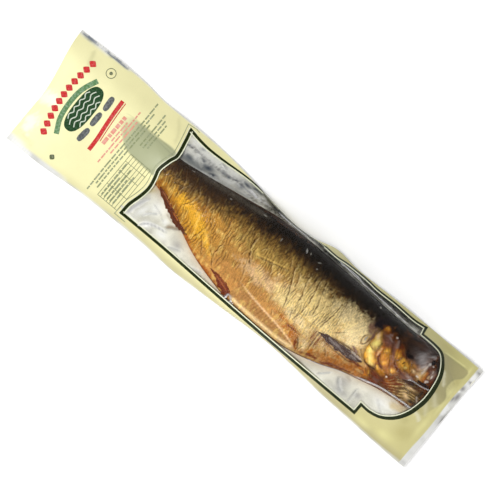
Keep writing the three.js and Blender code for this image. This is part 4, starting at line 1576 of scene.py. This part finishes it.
def ink(name, colour, fade=0.1, roughness=0.32):
    """A printing ink, a little uneven where it lies thin."""
    material, flow = new_material(name)
    thin = flow.noise(0.6, detail=3.0)
    waves = flow.noise(0.08, detail=2.0)
    lighter = tuple(lerp(value, 225, fade) for value in colour)
    flow.surface(
        Base_Color=thin.ease(0.4, 0.7).paint(tone(*colour), tone(*lighter)),
        Specular_IOR_Level=0.15,
        Roughness=roughness + 0.1 * waves,
        Normal=(waves + 0.03 * thin).bump(0.3, 1.0),
    )
    return material


border_points = []
border_widths = []
for window_run in WINDOW:
    run, start_width, end_width = window_run
    line = smooth_line(run, 10)
    widths = np.linspace(start_width, end_width, len(line))
    if window_run is HEAD_RUN:
        widths = widths + HEAD_RUN_SWELL * np.sin(math.pi * np.linspace(0, 1, len(line))) ** 2
    border_points.extend(line)
    border_widths.extend(widths)
border_points = np.array(border_points)
apart = np.hypot(*np.diff(border_points, axis=0).T) > 0.01
keep = np.concatenate([[True], apart])
border_points = even_points(border_points[keep], np.array(border_widths)[keep])
border_points, border_widths = border_points[:, :2], border_points[:, 2]

hidden_along = np.arange(HIDDEN_RUN[0], HIDDEN_RUN[1] + INK_STEP, INK_STEP)


def hidden_band(low, high):
    """A band of ink along the stretch that hangs down, between two ways further in than its middle."""
    gaps = np.linspace(low, high, 3)
    places = [ink_at(*film_line_from_edge(hidden_along, hidden_gap(hidden_along) + gap)) for gap in gaps]
    return np.stack(places, 1)


border_green = ink("border_green", (26, 36, 4), fade=0.05)
keyline = ink("keyline_cream", (232, 234, 204), fade=0.1)
hairline = ink("hairline_green", (150, 156, 120), fade=0.3)
KEYLINE = 0.85
ink_piece(
    "window_border",
    [printed_band(border_points, border_widths, -border_widths, 3), hidden_band(-0.5, 0.5)],
    border_green,
)
ink_piece(
    "inner_keyline",
    [printed_band(border_points, border_widths + KEYLINE, border_widths), hidden_band(0.5, 1.1)],
    keyline,
)
# The border's side at the title end is what lies below both of these along and across.
TITLE_SIDE = (121, 47.5)
OUTER_KEYLINE = (-1.5, -2.0)
OUTER_HAIRLINE = (-3.6, -4.2)
title_side = border_points[(border_points < TITLE_SIDE).all(axis=1)]
ink_piece("outer_keyline", [printed_band(title_side, *OUTER_KEYLINE)], keyline)
ink_piece("outer_hairline", [printed_band(title_side, *OUTER_HAIRLINE)], hairline)


# ------------------------------------------------------------------------------ the print on the title end
# Plain fields of ink on the cream film: red lozenges in an arc, a green disc with pale waves, grey bars, a
# ruled panel and close rows of dashes. There is no lettering and no picture.

LOZENGES = 11
TITLE_ARC = through((-33, 25.2), (-20, 21.5), (-8, 18.8), (5, 17.5), (20, 17.6), (41, 20.0))
TITLE_REACH = (-29.0, 38.0)
LOZENGE_LENGTH = 7.0
LOZENGE_WIDTH = 6.2
DASH_GAP = 0.9


def printed_oval(x, y, half_length, half_width, inner=0.0, power=2.0, turn=0.0, rings=6, sides=48):
    """Places of a flat oval of ink, or of a ring with inner as its hole's share. A power under 2 makes it a
    lozenge, and one above 2 squares it."""
    around = np.linspace(0, 2 * math.pi, sides + 1)[:, None]
    out = np.linspace(inner, 1, rings + 1)
    reach = (np.abs(np.cos(around)) ** power + np.abs(np.sin(around)) ** power) ** (-1 / power)
    u = out * reach * np.cos(around) * half_length
    v = out * reach * np.sin(around) * half_width
    cos, sin = math.cos(math.radians(turn)), math.sin(math.radians(turn))
    along = x + u * cos - v * sin
    across = y + u * sin + v * cos
    column, line = film_line_at(along.ravel(), across.ravel())
    return ink_at(column, line).reshape(*along.shape, 3)[::-1]


def printed_line(points, half_width, lift=INK_LIFT):
    line = smooth_line(points)
    line = even_points(line, np.zeros(len(line)))[:, :2]
    return printed_band(line, half_width, -half_width, 2, lift)


def dashes(along, start, end, half_width, shortest, longest, draw):
    """A row of dashes of uneven length across the pouch."""
    bands = []
    across = start
    while across < end - shortest:
        length = min(draw.uniform(shortest, longest), end - across)
        shift = 0.35 * math.sin(across / 13)
        bands.append(printed_line([(along + shift, across), (along + shift, across + length)], half_width))
        across += length + DASH_GAP
    return bands


lozenges = []
for k in range(LOZENGES):
    y = lerp(*TITLE_REACH, k / (LOZENGES - 1))
    half = (LOZENGE_LENGTH / 2, LOZENGE_WIDTH / 2)
    lozenges.append(printed_oval(TITLE_ARC(y), y, *half, power=1.15, sides=24))
red = ink("print_red", (198, 44, 44), fade=0.25)
RED_BAR = [(57.5, 30.5), (58.2, 20), (59.6, 6), (61.0, -6), (61.5, -17)]
ink_piece("title_lozenges", lozenges, red)
ink_piece(
    "red_bars",
    [printed_line(RED_BAR, 1.7), printed_line([(x + 3.0, y) for x, y in RED_BAR[:4]], 0.35)],
    red,
)

green = ink("print_green", (32, 66, 34), fade=0.12)
leaf = ink("print_leaf", (92, 132, 86), fade=0.35)
DISC = (37.4, 5.5)
green_disc = printed_oval(*DISC, 8.4, 21.5, power=2.5, sides=72, rings=10)
ink_piece("green_disc", [green_disc], green)
leaf_arc = printed_line([(33, -24), (27.2, -12), (25.2, 2), (26.2, 16), (31.5, 30)], 2.1)
ink_piece("leaf_arc", [leaf_arc], leaf)
WAVES_LIFT = 0.3
WAVES = ((31.5, 14.0), (35.5, 17.0), (39.5, 16.5), (43.2, 13.0))
ink_piece(
    "pale_waves",
    [
        printed_line(
            [(x + 0.9 * (-1) ** k, DISC[1] + reach * (k / 4 - 1)) for k in range(9)], 0.42, WAVES_LIFT
        )
        for x, reach in WAVES
    ],
    ink("print_pale", (205, 214, 196), fade=0.1),
)
BARS = ((21.5, 5), (5.5, 0), (-10.5, -5))
grey_bars = [printed_oval(50.2, y, 2.5, 6.6, power=3.0, turn=turn, sides=36) for y, turn in BARS]
ink_piece("grey_bars", grey_bars, ink("print_grey", (84, 88, 88), fade=0.3))
RING_AT = (35.8, 41.6)
small_grey = [printed_oval(*RING_AT, 4.3, 4.3, inner=0.87, rings=1), printed_oval(*RING_AT, 1.4, 1.4)]
small_grey.append(printed_oval(42.4, -40.5, 2.4, 2.4, power=1.3))
ink_piece("small_rings", small_grey, ink("print_olive", (96, 104, 72), fade=0.3))

PANEL_START, PANEL_END, PANEL_LOW, PANEL_HIGH = 90.0, 110.5, -40.0, 2.0
RULE = 0.22
panel_lines = [
    printed_line([(x, PANEL_LOW), (x, PANEL_HIGH)], RULE) for x in np.linspace(PANEL_START, PANEL_END, 8)
]
for y in (PANEL_LOW, -28.0, -14.0, -5.0, PANEL_HIGH):
    panel_lines.append(printed_line([(PANEL_START, y), (PANEL_END, y)], RULE))
ink_piece("ruled_panel", panel_lines, ink("print_rule", (128, 134, 96), fade=0.2))

draw = np.random.default_rng(17)
fine_red = []
RED_ROWS = ((67.2, -6, 22, 1.6), (71.2, 0, 20, 0.6), (73.8, -20, 34, 0.6), (77.0, -8, 25, 0.6))
for along, start, end, half_width in RED_ROWS:
    fine_red += dashes(along, start, end, half_width, 2.0, 7.0, draw)
ink_piece("fine_red_rows", fine_red, ink("print_pink", (226, 150, 130), fade=0.3))
fine_green = []
GREEN_ROWS = (
    (80.6, -42, 47), (83.4, -34, 40), (86.2, -36, 30), (91.0, 12, 44), (94.0, 12, 40), (97.0, 14, 38),
    (92.5, -38, -6), (95.4, -38, -16), (98.4, -38, -8), (101.2, -38, -16), (104.2, -38, -10),
)
for along, start, end in GREEN_ROWS:
    fine_green += dashes(along, start, end, 0.6, 2.0, 8.0, draw)
ink_piece("fine_green_rows", fine_green, ink("print_sage", (140, 148, 108), fade=0.3))


# ------------------------------------------------------------------------------- the floor, light and camera
# White paper under the pouch, two soft lamps above it and a pale room around. The camera looks straight down
# from high above, and is turned so that the pouch lies aslant in the picture.

FLOOR_SIZE = 6.0
FLOOR_GAP = 0.0005
bpy.ops.mesh.primitive_plane_add(size=FLOOR_SIZE, location=(0, 0, -FLOOR_GAP))
floor = bpy.context.object
floor.name = "studio_floor"
paper, flow = new_material("white_paper")
fibres = flow.noise(0.02)
flow.surface(
    Base_Color=fibres.paint((0.95, 0.95, 0.95, 1), (0.96, 0.96, 0.96, 1)),
    Roughness=0.9,
    Emission_Color=(1, 1, 1, 1),
    Emission_Strength=0.12,
)
floor.data.materials.append(paper)

# The room is brighter round the horizon than overhead.
ZENITH = 0.28
HORIZON = 0.78
world = bpy.data.worlds.new("studio")
bpy.context.scene.world = world
world.use_nodes = True
world.node_tree.nodes.clear()
flow = Flow(world.node_tree)
way = flow.node("ShaderNodeTexCoord", out=0)
up = flow.node("ShaderNodeSeparateXYZ", {}, {0: way}, out=2)
strength = up.ease(0.15, 0.95) * (ZENITH - HORIZON) + HORIZON
sky = flow.node("ShaderNodeBackground", {}, {"Color": (1, 1, 1, 1), "Strength": strength})
flow.node("ShaderNodeOutputWorld", {}, {"Surface": sky})


def soft_light(name, place, aim, size, watts):
    """A square studio light, aimed at a place."""
    lamp = bpy.data.lights.new(name, "AREA")
    lamp.size = size
    lamp.energy = watts
    light = bpy.data.objects.new(name, lamp)
    bpy.context.scene.collection.objects.link(light)
    light.location = place
    way = Vector(aim) - Vector(place)
    light.rotation_euler = way.to_track_quat("-Z", "Y").to_euler()


soft_light("key_light", (-1.25, -0.3, 1.3), (0, 0, 0), 0.8, 19)
soft_light("fill_light", (0.6, -1.1, 1.25), (0, 0, 0), 1.3, 14)

PICTURE_WIDTH = 0.4
CAMERA_HEIGHT = 1.8
SENSOR = 36.0
TURN = math.radians(39.93)
MIDDLE = in_metres(212.8, 4.4, 12.0)
camera = bpy.data.objects.new("camera", bpy.data.cameras.new("camera"))
bpy.context.scene.collection.objects.link(camera)
camera.data.sensor_width = SENSOR
camera.data.lens = SENSOR * CAMERA_HEIGHT / PICTURE_WIDTH
camera.data.clip_start = 0.05
camera.location = (MIDDLE[0], MIDDLE[1], MIDDLE[2] + CAMERA_HEIGHT)
camera.rotation_euler = (0, 0, TURN)
bpy.context.scene.camera = camera
bpy.context.scene.view_settings.view_transform = "Standard"
